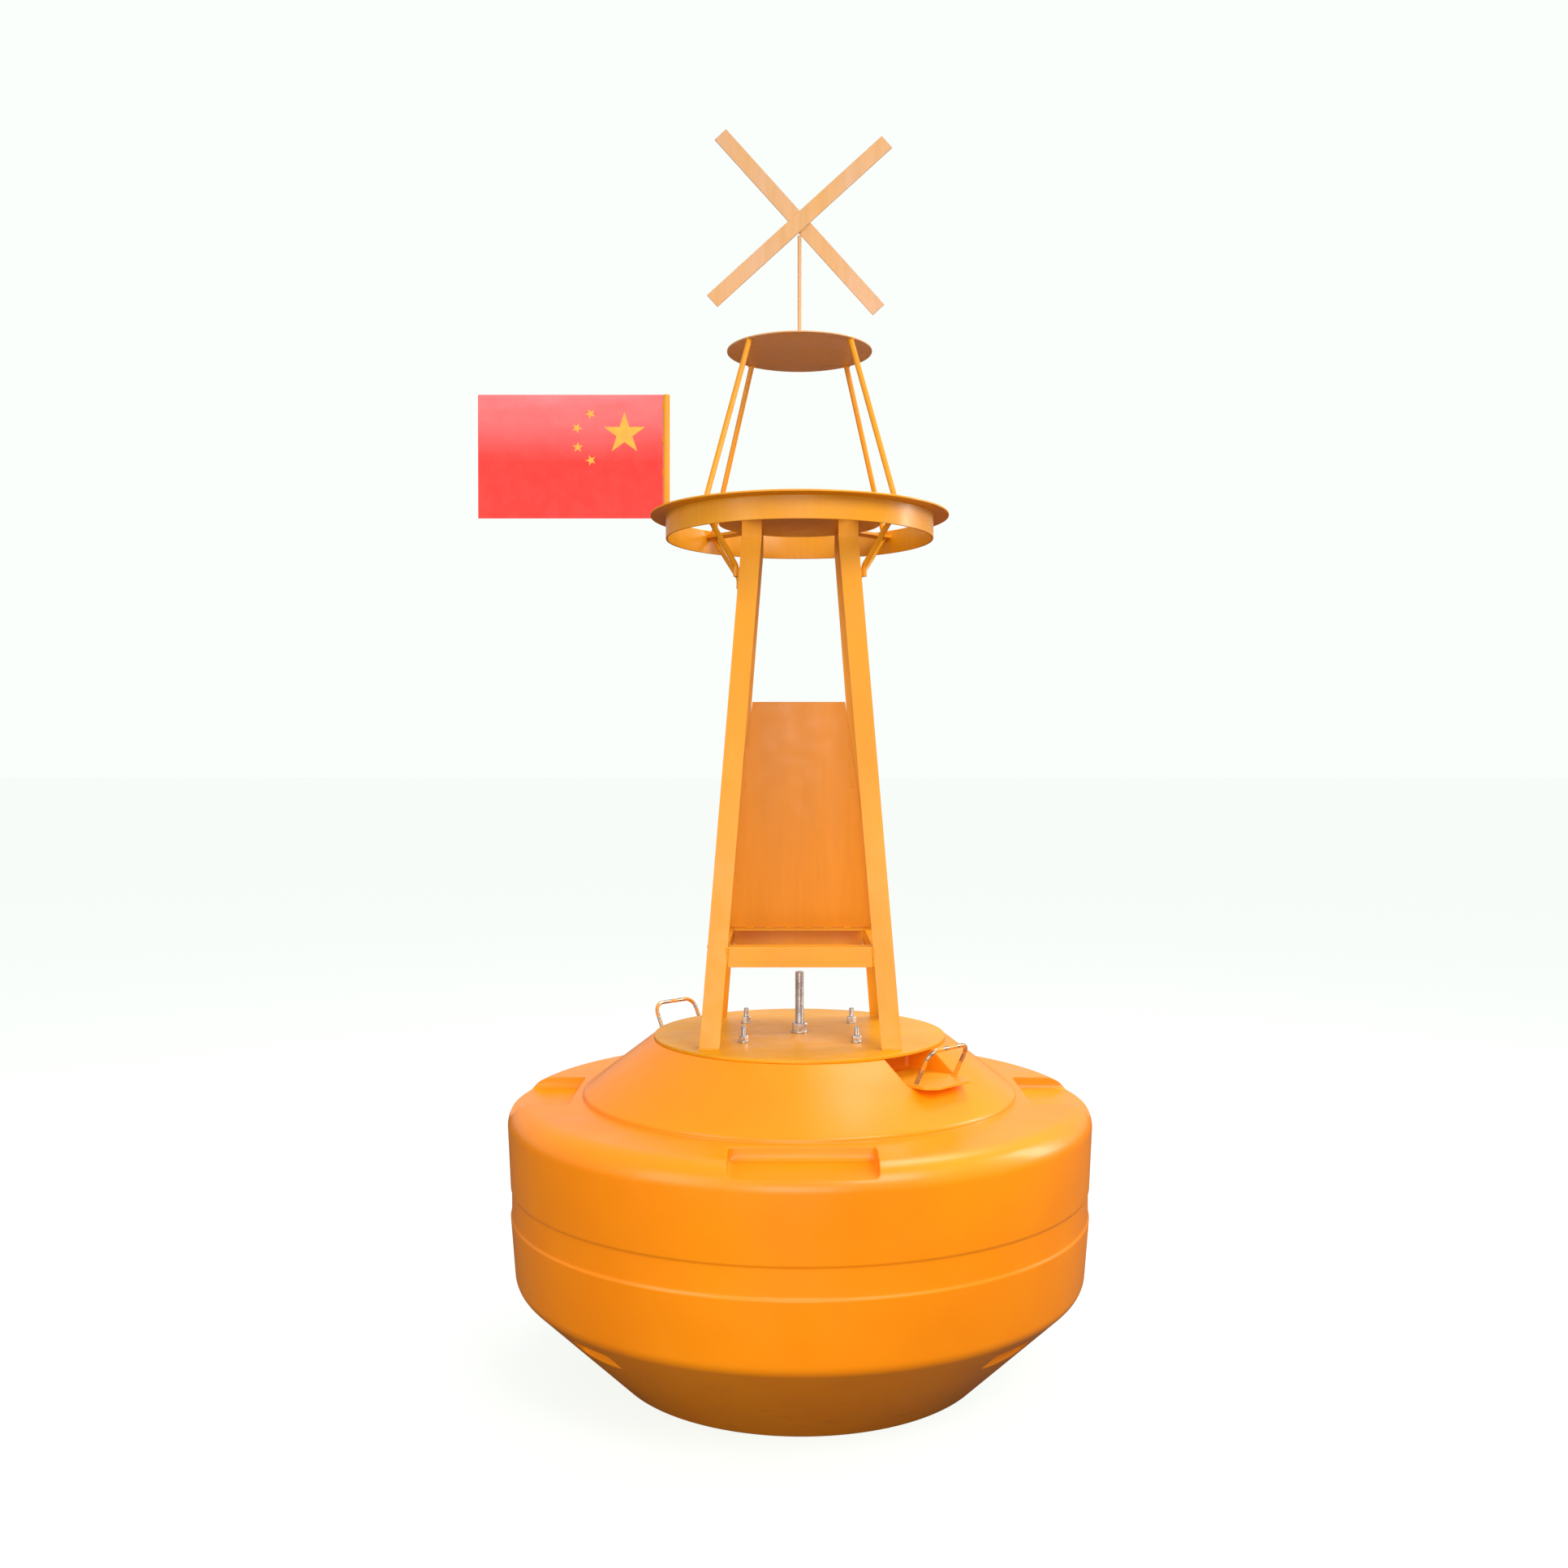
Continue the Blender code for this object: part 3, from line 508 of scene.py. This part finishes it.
def cutter_box(low, high, rounding, azimuth):
    """A box cutter with rounded edges, turned about Z."""
    low, high = Vector(low), Vector(high)
    shape = bmesh.new()
    place = Matrix.Translation((low + high) / 2) @ Matrix.Diagonal((*(high - low), 1.0))
    bmesh.ops.create_cube(shape, size=1.0, matrix=place)
    bmesh.ops.bevel(shape, geom=shape.edges[:], offset=rounding, segments=5, profile=0.5, affect="EDGES")
    bmesh.ops.rotate(shape, verts=shape.verts, matrix=Matrix.Rotation(radians(azimuth), 3, "Z"))
    mesh = bpy.data.meshes.new("cutter")
    shape.to_mesh(mesh)
    shape.free()
    cutter = bpy.data.objects.new("cutter", mesh)
    bpy.context.scene.collection.objects.link(cutter)
    return cutter


# Float

def float_points():
    """(radius, z) points from the middle of the top, down the outside, to the middle of the bottom."""
    cone = rounded_profile([
        (0.0, CONE_TOP_Z, 0),
        (CONE_TOP_RADIUS, CONE_TOP_Z, 0.006),
        (*CONE_FOOT, CONE_FOOT_ROUNDING),
        (CONE_FOOT[0], DECK_INNER_Z, 0),
    ])
    deck_inner = (CONE_FOOT[0] + CONE_FOOT_ROUNDING, 0, DECK_INNER_Z)
    rim = arc(deck_inner, (FLOAT_RADIUS, 0, DECK_Z), (FLOAT_RADIUS, 0, RIM_Z), RIM_ROUNDING, 18)
    groove_radius = BELT_RADIUS - GROOVE_DEPTH
    wall = rounded_profile([
        (FLOAT_RADIUS, RIM_Z, 0),
        (BELT_RADIUS, BELT_TOP_Z, BELT_ROUNDING),
        (groove_radius, BELT_TOP_Z - GROOVE_SLOPE, BELT_ROUNDING),
        (groove_radius, BELT_BOTTOM_Z + GROOVE_SLOPE, BELT_ROUNDING),
        (BELT_RADIUS, BELT_BOTTOM_Z, BELT_ROUNDING),
        (*CHINE, CHINE_ROUNDING),
        (BOTTOM_RADIUS, 0.0, 0.010),
        (0.0, 0.0, 0),
    ])
    return cone + [(deck_inner[0], deck_inner[2])] + [(point.x, point.z) for point in rim] + wall[1:]


def recess_cutters():
    """Cutters for the deck pockets, the handle slots and the notches at the chine."""
    beyond = FLOAT_RADIUS + CUTTER_REACH
    cutters = []
    for azimuth in SIDES:
        low = (CONE_FOOT[0] + POCKET_SETBACK, -POCKET_HALF, DECK_Z - POCKET_DEPTH)
        high = (beyond, POCKET_HALF, DECK_Z + CUTTER_REACH)
        cutters.append(cutter_box(low, high, POCKET_ROUNDING, azimuth))
    for _, azimuth in HANDLES:
        low = (SLOT_INNER_RADIUS, -SLOT_HALF, TAB_LOW.z - SEAT_GAP)
        high = (beyond, SLOT_HALF, CONE_TOP_Z + CUTTER_REACH)
        cutters.append(cutter_box(low, high, SLOT_ROUNDING, azimuth))
    for _, azimuth in CORNERS:
        low = (CHINE[0] - NOTCH_DEPTH, -NOTCH_HALF, -CUTTER_REACH)
        high = (beyond, NOTCH_HALF, NOTCH_HEIGHT)
        cutters.append(cutter_box(low, high, NOTCH_ROUNDING, azimuth))
    return cutters


def build_float():
    shell = turned_mesh("float_shell", float_points())
    hull = add_piece("float_shell", shell, FLOAT_SKIN, ("float",))
    cutters = recess_cutters()
    for cutter in cutters:
        boolean = hull.modifiers.new("recess", "BOOLEAN")
        boolean.operation = "DIFFERENCE"
        boolean.solver = "EXACT"
        boolean.object = cutter
    graph = bpy.context.evaluated_depsgraph_get()
    hull.data = smooth(bpy.data.meshes.new_from_object(hull.evaluated_get(graph)), 28)
    hull.modifiers.clear()
    for cutter in cutters:
        bpy.data.objects.remove(cutter)


def build_bung():
    """The small dark bung low on the float's front."""
    shape = bmesh.new()
    bmesh.ops.create_uvsphere(shape, u_segments=24, v_segments=12, radius=BUNG_RADIUS)
    bmesh.ops.scale(shape, verts=shape.verts, vec=(1, 0.35, 1))
    place = (BUNG_X, BUNG_SINK - CHINE[0], CHINE[1] + BUNG_RISE)
    bmesh.ops.translate(shape, verts=shape.verts, vec=place)
    add_piece("float_bung", mesh_of("float_bung", shape, 35), BUNG_DARK)


# Turned steel: plates, ring, studs and nuts

def disc_points(radius, low_z, high_z, hole=0.0, rounding=0.0012):
    if hole:
        corners = ((hole, high_z), (radius, high_z), (radius, low_z), (hole, low_z))
        return rounded_profile([(*corner, rounding) for corner in corners], True)
    corners = [(0.0, high_z, 0), (radius, high_z, rounding), (radius, low_z, rounding), (0.0, low_z, 0)]
    return rounded_profile(corners)


def build_plates():
    hole = TIE_RADIUS + TIE_CLEARANCE
    base = turned_mesh("base_disc", disc_points(BASE_HIGH.x, BASE_LOW.z, BASE_HIGH.z, hole), closed=True)
    add_piece("base_disc", base, PLATE_AMBER, ("base_plate",))
    plate = turned_mesh("lantern_disc", disc_points(PLATE_HIGH.x, PLATE_LOW.z, PLATE_HIGH.z))
    add_piece("lantern_disc", plate, PLATE_AMBER, ("lantern_plate",))
    top = turned_mesh("cage_disc", disc_points(DISC_HIGH.x, DISC_LOW.z, DISC_HIGH.z))
    add_piece("cage_disc", top, FADED_AMBER, ("top_disc",))
    wall_radius = RING_BORE + RING_WALL
    flange_z = RING_HIGH.z - RING_WALL
    section = [
        (RING_BORE, RING_HIGH.z, 0.002),
        (RING_HIGH.x, RING_HIGH.z, 0.0015),
        (RING_HIGH.x, flange_z, 0.0015),
        (wall_radius, flange_z, 0.004),
        (wall_radius, RING_LOW.z, 0.0015),
        (RING_BORE, RING_LOW.z, 0.0015),
    ]
    ring = turned_mesh("ring_rolled", rounded_profile(section, True), closed=True)
    add_piece("ring_rolled", ring, AMBER, ("platform_ring",))


def threaded_points(radius, pitch, low_z, high_z):
    """A stud's profile from its chamfered top down, with a ridge for each turn of thread."""
    points = [(0.0, high_z), (radius - pitch * 0.6, high_z), (radius, high_z - pitch * 0.8)]
    for turn in range(1, int((high_z - low_z) / pitch) - 1):
        z = high_z - pitch * (turn + 0.4)
        points.append((radius - pitch * 0.5, z))
        points.append((radius, z - pitch * 0.5))
    return points + [(radius, low_z), (0.0, low_z)]


def nut_mesh(name, centre, across_flats, bore, low_z, high_z, turn):
    """A hexagonal nut with chamfered corners."""
    shape = bmesh.new()
    corner = across_flats / 2 / cos(pi / 6)
    chamfer = across_flats * 0.06
    levels = (
        (bore, low_z),
        (corner * 0.94, low_z),
        (corner, low_z + chamfer),
        (corner, high_z - chamfer),
        (corner * 0.92, high_z),
        (bore, high_z),
    )
    rings = []
    for radius, z in levels:
        ring = []
        for step in range(NUT_STEPS):
            angle = 2 * pi * step / NUT_STEPS
            flat = across_flats / 2 / cos((angle + pi / 6) % (pi / 3) - pi / 6)
            reach = bore if radius == bore else min(flat, radius)
            x = centre[0] + reach * cos(angle + turn)
            y = centre[1] + reach * sin(angle + turn)
            ring.append(shape.verts.new((x, y, z)))
        rings.append(ring)
    join_rings(shape, rings, closed=True)
    bmesh.ops.recalc_face_normals(shape, faces=shape.faces)
    return mesh_of(name, shape, 20)


def build_fastener(name, centre, sizes, turn, nodes=()):
    """Stud, nut and washer standing on the base plate."""
    radius, pitch, standing, across_flats, nut_height, washer_radius = sizes
    top = BASE_HIGH.z + SEAT_GAP
    stud = turned_mesh(name, threaded_points(radius, pitch, top, top + standing), 32, centre=centre)
    add_piece(name, stud, STAINLESS, nodes)
    profile = disc_points(washer_radius, top, top + WASHER_THICKNESS, radius + 0.0003, 0.0006)
    washer = turned_mesh(name + "_washer", profile, 48, True, centre)
    add_piece(name + "_washer", washer, STAINLESS)
    low = top + WASHER_THICKNESS + 0.0001
    nut = nut_mesh(name + "_nut", centre, across_flats, radius + 0.0002, low, low + nut_height, turn)
    add_piece(name + "_nut", nut, STAINLESS)


def build_fasteners():
    standing = TIE_HIGH.z - BASE_HIGH.z - SEAT_GAP
    tie_sizes = (TIE_RADIUS, 0.003, standing, 0.036, 0.021, 0.022)
    build_fastener("tie_stud", (0, 0), tie_sizes, 0.2, ("tie_rod",))
    for index, (corner, azimuth) in enumerate(CORNERS):
        centre = turn_z((STUD_SPREAD * sqrt(2), 0, 0), azimuth)
        build_fastener(f"stud_{corner}", (centre.x, centre.y), STUD_SIZES, 0.3 + index)


# Round bars

def brace_axis(corner):
    """(side of X, side of Y, nearest x, nearest y, foot z) of a platform brace's bar."""
    low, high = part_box(f"platform_brace_{corner}")
    side_x = 1 if low.x > 0 else -1
    side_y = 1 if low.y > 0 else -1
    return side_x, side_y, min(abs(low.x), abs(high.x)), min(abs(low.y), abs(high.y)), low.z


def build_rods():
    foot_z, head_z = ARM_HIGH.z + SEAT_GAP, DISC_LOW.z - SEAT_GAP
    for corner, azimuth in CORNERS:
        route = [turn_z((ROD_FOOT_RADIUS, 0, foot_z), azimuth), turn_z((ROD_HEAD_RADIUS, 0, head_z), azimuth)]
        rod = tube_mesh(f"rod_{corner}", route, ROD_RADIUS)
        add_piece(f"rod_{corner}", rod, AMBER, (f"cage_rod_{corner}",))


def build_braces():
    head = (RING_BORE - BRACE_HEAD_SETBACK) / sqrt(2)
    for corner, _ in CORNERS:
        side_x, side_y, near_x, near_y, foot_z = brace_axis(corner)
        x, y = (near_x + BRACE_RADIUS) * side_x, (near_y + BRACE_RADIUS) * side_y
        foot = (x, y, foot_z + 0.001)
        stub = (x, y, foot_z + BRACE_STUB)
        end = (head * side_x, head * side_y, ARM_LOW.z - 0.001)
        route = [foot, *arc(foot, stub, end, BRACE_BEND, 10), end]
        brace = tube_mesh(f"brace_{corner}", route, BRACE_RADIUS)
        add_piece(f"brace_{corner}", brace, AMBER, (f"platform_brace_{corner}",))


def build_posts():
    pole_profile = disc_points(POLE_HIGH.x, POLE_LOW.z, POLE_HIGH.z, rounding=0.0008)
    pole = turned_mesh("pole_round", pole_profile, BAR_SIDES)
    add_piece("pole_round", pole, FADED_AMBER, ("topmark_pole",))
    radius = (POST_HIGH.x - POST_LOW.x) / 2
    post_profile = disc_points(radius, POST_LOW.z, POST_HIGH.z, rounding=0.0015)
    post = turned_mesh("post_round", post_profile, 32, centre=POST_CENTRE)
    add_piece("post_round", post, AMBER, ("flag_post",))


def build_handles():
    foot_z = TAB_HIGH.z + 0.001
    side = HANDLE_HALF_WIDTH
    grip_x = HANDLE_FOOT_RADIUS + HANDLE_RISE * sin(HANDLE_LEAN)
    grip_z = foot_z + 0.0017 + HANDLE_RISE * cos(HANDLE_LEAN)
    corners = [
        (HANDLE_FOOT_RADIUS, -side, foot_z),
        (grip_x, -side, grip_z),
        (grip_x, side, grip_z),
        (HANDLE_FOOT_RADIUS, side, foot_z),
    ]
    first_bend = arc(*corners[:3], HANDLE_BEND, 10)
    second_bend = arc(*corners[1:], HANDLE_BEND, 10)
    route = [corners[0], *first_bend, *second_bend, corners[3]]
    for corner, azimuth in HANDLES:
        turned = [turn_z(point, azimuth) for point in route]
        handle = tube_mesh(f"handle_{corner}", turned, HANDLE_RADIUS, 20)
        add_piece(f"handle_{corner}", handle, HANDLE_FINISH, (f"lifting_handle_{corner}",))


# Weld beads

def bead(shape, start, end, radius):
    start, end = Vector(start), Vector(end)
    count = max(4, ceil((end - start).length / BEAD_STEP))
    route = [start.lerp(end, step / count) for step in range(count + 1)]
    tube_into(shape, route, radius, 8, 0.55)


def ring_bead(shape, centre, radius, bead_radius, steps=28):
    """A bead round the foot of a bar."""
    centre = Vector(centre)
    for step in range(steps):
        first, second = 2 * pi * step / steps, 2 * pi * (step + 1.3) / steps
        start = centre + Vector((radius * cos(first), radius * sin(first), 0))
        end = centre + Vector((radius * cos(second), radius * sin(second), 0))
        tube_into(shape, [start, start.lerp(end, 0.5), end], bead_radius, 8, 0.4)


def leg_half(z):
    """Half the tower's width over the legs' outer faces."""
    foot, head = LEG_HIGH.x, PLATE_HIGH.x / sqrt(2) - LEG_HEAD_INSET
    share = (z - LEG_LOW.z) / (LEG_HIGH.z - LEG_UPRIGHT - LEG_LOW.z)
    return foot + (head - foot) * min(share, 1.0)


def leg_beads(shape, turn):
    """Beads round a leg's foot and head, and up the ends of the two beams that meet it."""
    foot = (leg_half(LEG_LOW.z), BASE_HIGH.z + 0.001, LEG_FOOT_BEAD)
    head = (leg_half(LEG_HIGH.z), PLATE_LOW.z - 0.001, LEG_HEAD_BEAD)
    for half, z, size in (foot, head):
        toe, inner = half - ANGLE_SIDE, half - ANGLE_WALL
        bead(shape, turn_z((half, half, z), turn), turn_z((toe, half, z), turn), size)
        bead(shape, turn_z((half, half, z), turn), turn_z((half, toe, z), turn), size)
        bead(shape, turn_z((inner, inner, z), turn), turn_z((inner, toe, z), turn), size)
        bead(shape, turn_z((inner, inner, z), turn), turn_z((toe, inner, z), turn), size)
    toe_top, toe_low = leg_half(BEAM_HIGH.z) - ANGLE_SIDE, leg_half(BEAM_LOW.z) - ANGLE_SIDE
    low, high = (toe_low, BEAM_HIGH.y, BEAM_LOW.z), (toe_top, BEAM_HIGH.y, BEAM_HIGH.z)
    for start, end in ((low, high), ((low[1], low[0], low[2]), (high[1], high[0], high[2]))):
        bead(shape, turn_z(start, turn), turn_z(end, turn), BEAM_BEAD)


def arm_beads(shape, azimuth):
    """Beads at both ends of an arm, a rod and a brace's head."""
    rod_foot = turn_z((ROD_FOOT_RADIUS, 0, ARM_HIGH.z + 0.0008), azimuth)
    rod_head = turn_z((ROD_HEAD_RADIUS, 0, DISC_LOW.z - 0.0012), azimuth)
    ring_bead(shape, rod_foot, ROD_RADIUS + 0.001, BAR_BEAD)
    ring_bead(shape, rod_head, ROD_RADIUS + 0.001, SMALL_BEAD)
    for side in (-ARM_HALF, ARM_HALF):
        for radius in (PLATE_HIGH.x, RING_BORE - 0.001):
            start, end = (radius, side, ARM_LOW.z), (radius, side, ARM_HIGH.z)
            bead(shape, turn_z(start, azimuth), turn_z(end, azimuth), ARM_BEAD)
    for radius, z in ((PLATE_HIGH.x + 0.0005, ARM_HIGH.z - 0.001), (RING_BORE - 0.0022, ARM_LOW.z)):
        start, end = (radius, -ARM_HALF, z), (radius, ARM_HALF, z)
        bead(shape, turn_z(start, azimuth), turn_z(end, azimuth), EDGE_BEAD)
    brace_head = turn_z((RING_BORE - BRACE_HEAD_SETBACK - 0.002, 0, ARM_LOW.z - 0.0012), azimuth)
    ring_bead(shape, brace_head, BRACE_RADIUS + 0.002, EDGE_BEAD)


def brace_foot_beads(shape, corner):
    side_x, side_y, near_x, near_y, foot_z = brace_axis(corner)
    x = (near_x + 0.0005) * side_x
    for offset in (0.0055, -0.0055):
        y = (near_y + BRACE_RADIUS + offset) * side_y
        bead(shape, (x, y, foot_z), (x, y, foot_z + BRACE_STUB - 0.004), BAR_BEAD)


def panel_beads(shape, side):
    """Stitches up one edge of the day mark and along its foot."""
    for share in (0.02, 0.20, 0.42, 0.62, 0.80):
        z = PANEL_LOW.z + (PANEL_HIGH.z - PANEL_LOW.z) * share
        ends = []
        for level in (z, z + STITCH_LENGTH):
            half = leg_half(level)
            ends.append((side * (half - ANGLE_SIDE - SEAT_GAP), half - ANGLE_WALL - 0.0027, level))
        bead(shape, *ends, BAR_BEAD)
    for share in (0.15, 0.5, 0.85):
        x = side * share * (BEAM_HIGH.x - 0.02)
        y, z = PANEL_HIGH.y - 0.0045, PANEL_LOW.z + 0.0005
        bead(shape, (x - 0.012, y, z), (x + 0.012, y, z), EDGE_BEAD)


def flag_beads(shape):
    """A bead round the post's foot and four short ones that hold the flag."""
    ring_bead(shape, (*POST_CENTRE, RING_HIGH.z + 0.0006), 0.010, BAR_BEAD)
    y = POST_CENTRE[1] - 0.0022
    for step in range(4):
        z = FLAG_LOW.z + 0.02 + step * (FLAG_HIGH.z - FLAG_LOW.z - 0.06) / 3
        bead(shape, (POST_LOW.x, y, z), (POST_LOW.x, y, z + 0.02), SMALL_BEAD)


def cross_beads(shape):
    """Beads along the corners where the two blades cross, on both faces, and at the pole's foot."""
    ring_bead(shape, (0, 0, DISC_HIGH.z + 0.0006), 0.0058, TOPMARK_BEAD, 20)
    reach = CROSS_WIDTH / 2
    for quarter in range(4):
        angle = pi / 4 + quarter * pi / 2 + CROSS_LEAN
        ahead = Vector((cos(angle), 0, sin(angle)))
        beside = Vector((-sin(angle), 0, cos(angle)))
        for y in (-0.0006, 0.0006):
            start = Vector((0, y, CROSS_CENTRE_Z)) + ahead * reach - beside * reach
            bead(shape, start, start + beside * 2 * reach, TOPMARK_BEAD)


def build_welds():
    tower = bmesh.new()
    for _, azimuth in CORNERS:
        leg_beads(tower, azimuth - 45)
        arm_beads(tower, azimuth)
    for corner, _ in CORNERS:
        brace_foot_beads(tower, corner)
    for side in (-1, 1):
        panel_beads(tower, side)
    flag_beads(tower)
    for _, azimuth in HANDLES:
        for side in (-HANDLE_HALF_WIDTH, HANDLE_HALF_WIDTH):
            foot = turn_z((HANDLE_FOOT_RADIUS + 0.0005, side, TAB_HIGH.z + 0.001), azimuth)
            ring_bead(tower, foot, 0.0062, SMALL_BEAD, 20)
    add_piece("weld_beads", mesh_of("weld_beads", tower, 60), AMBER)
    topmark = bmesh.new()
    cross_beads(topmark)
    add_piece("topmark_beads", mesh_of("topmark_beads", topmark, 60), FADED_AMBER)


# Flag

def star_into(shape, centre, radius, turn, y, depth):
    """A five-pointed star plate about an (x, z) centre, thin along Y."""
    inner = radius * sin(pi / 10) / sin(3 * pi / 10)
    outline = []
    for step in range(10):
        reach = inner if step % 2 else radius
        angle = turn + step * pi / 5
        outline.append((centre[0] + reach * cos(angle), centre[1] + reach * sin(angle)))
    near = [shape.verts.new((x, y, z)) for x, z in outline]
    far = [shape.verts.new((x, y + depth, z)) for x, z in outline]
    shape.faces.new(near)
    shape.faces.new(far)
    for step in range(10):
        after = (step + 1) % 10
        shape.faces.new((near[step], near[after], far[after], far[step]))


def build_flag():
    """One large star by the post and four small ones turned towards it, on both faces."""
    hoist, top = FLAG_HIGH.x, FLAG_HIGH.z
    big = (hoist - BIG_STAR[0], top - BIG_STAR[1])
    shape = bmesh.new()
    for y in (FLAG_LOW.y - STAR_DEPTH - 0.0001, FLAG_HIGH.y + 0.0001):
        star_into(shape, big, BIG_STAR_RADIUS, pi / 2, y, STAR_DEPTH)
        for from_hoist, from_top in SMALL_STARS:
            place = (hoist - from_hoist, top - from_top)
            towards = atan2(big[1] - place[1], big[0] - place[0])
            star_into(shape, place, SMALL_STAR_RADIUS, towards, y, STAR_DEPTH)
    bmesh.ops.recalc_face_normals(shape, faces=shape.faces)
    mesh = bpy.data.meshes.new("flag_stars")
    shape.to_mesh(mesh)
    shape.free()
    add_piece("flag_stars", mesh, STAR_YELLOW)


def paint_model_nodes():
    """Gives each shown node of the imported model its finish."""
    finishes = {"day_mark_panel": PANEL_AMBER, "flag_plate": FLAG_RED}
    finishes.update({"cross_blade_front": FADED_AMBER, "cross_blade_rear": FADED_AMBER})
    for name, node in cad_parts.items():
        node.data.materials.clear()
        node.data.materials.append(finishes.get(name, AMBER))


# Floor, light and camera

def camera_switch(tree, elsewhere, to_camera, target):
    """Shows one shader to the camera and the other to every other ray."""
    path = tree.nodes.new("ShaderNodeLightPath")
    pick = tree.nodes.new("ShaderNodeMixShader")
    tree.links.new(path.outputs["Is Camera Ray"], pick.inputs[0])
    tree.links.new(elsewhere.outputs[0], pick.inputs[1])
    tree.links.new(to_camera.outputs[0], pick.inputs[2])
    tree.links.new(pick.outputs[0], target.inputs["Surface"])


def build_floor():
    bpy.ops.mesh.primitive_plane_add(size=400, location=(0, 0, 0))
    floor = bpy.context.object
    floor.name = "floor"
    material, tree, shader = new_material("floor_pale")
    shader.inputs["Base Color"].default_value = (0.10, 0.10, 0.095, 1.0)
    shader.inputs["Roughness"].default_value = 0.9
    shader.inputs["Specular IOR Level"].default_value = 0.0
    bright = tree.nodes.new("ShaderNodeEmission")
    bright.inputs["Color"].default_value = PALE
    bright.inputs["Strength"].default_value = 0.86
    shaded = tree.nodes.new("ShaderNodeBsdfDiffuse")
    shaded.inputs["Color"].default_value = (0.20, 0.20, 0.195, 1.0)
    seen = tree.nodes.new("ShaderNodeAddShader")
    tree.links.new(bright.outputs[0], seen.inputs[0])
    tree.links.new(shaded.outputs[0], seen.inputs[1])
    camera_switch(tree, shader, seen, tree.nodes["Material Output"])
    floor.data.materials.append(material)


def build_world():
    world = bpy.data.worlds.new("studio")
    world.use_nodes = True
    bpy.context.scene.world = world
    tree = world.node_tree
    ambient = tree.nodes["Background"]
    ambient.inputs["Color"].default_value = (1.0, 0.98, 0.96, 1.0)
    ambient.inputs["Strength"].default_value = 0.58
    backdrop = tree.nodes.new("ShaderNodeBackground")
    backdrop.inputs["Color"].default_value = PALE
    camera_switch(tree, ambient, backdrop, tree.nodes["World Output"])


def area_light(name, place, target, size, energy):
    light = bpy.data.lights.new(name, "AREA")
    light.shape = "RECTANGLE"
    light.size, light.size_y = size
    light.energy = energy
    lamp = bpy.data.objects.new(name, light)
    lamp.location = place
    lamp.rotation_euler = (Vector(target) - Vector(place)).to_track_quat("-Z", "Y").to_euler()
    bpy.context.scene.collection.objects.link(lamp)


def build_lights():
    area_light("key", (2.6, -4.2, 4.4), (0, 0, 1.0), (2.6, 2.6), 190)
    area_light("fill", (-3.6, -3.6, 2.4), (0, 0, 1.2), (2.4, 3.0), 70)
    area_light("front", (-0.4, -6.5, 1.3), (0, 0, 0.9), (3.4, 2.0), 120)
    area_light("top", (0.8, 1.4, 5.2), (0, 0, 0.8), (3.0, 3.0), 150)
    area_light("window", (4.2, 0.6, 2.4), (0, 0, 0.8), (1.0, 2.4), 80)


def build_camera():
    camera = bpy.data.cameras.new("camera")
    camera.lens = 34.16
    camera.sensor_width = 36.0
    holder = bpy.data.objects.new("camera", camera)
    holder.location = (-0.0403, -3.882, 1.544)
    holder.rotation_euler = (radians(90 - 0.694), 0, 0)
    bpy.context.scene.collection.objects.link(holder)
    bpy.context.scene.camera = holder
    bpy.context.scene.view_settings.view_transform = "Standard"


build_camera()
build_floor()
build_world()
build_lights()
paint_model_nodes()
build_float()
build_bung()
build_plates()
build_fasteners()
build_rods()
build_braces()
build_posts()
build_handles()
build_welds()
build_flag()
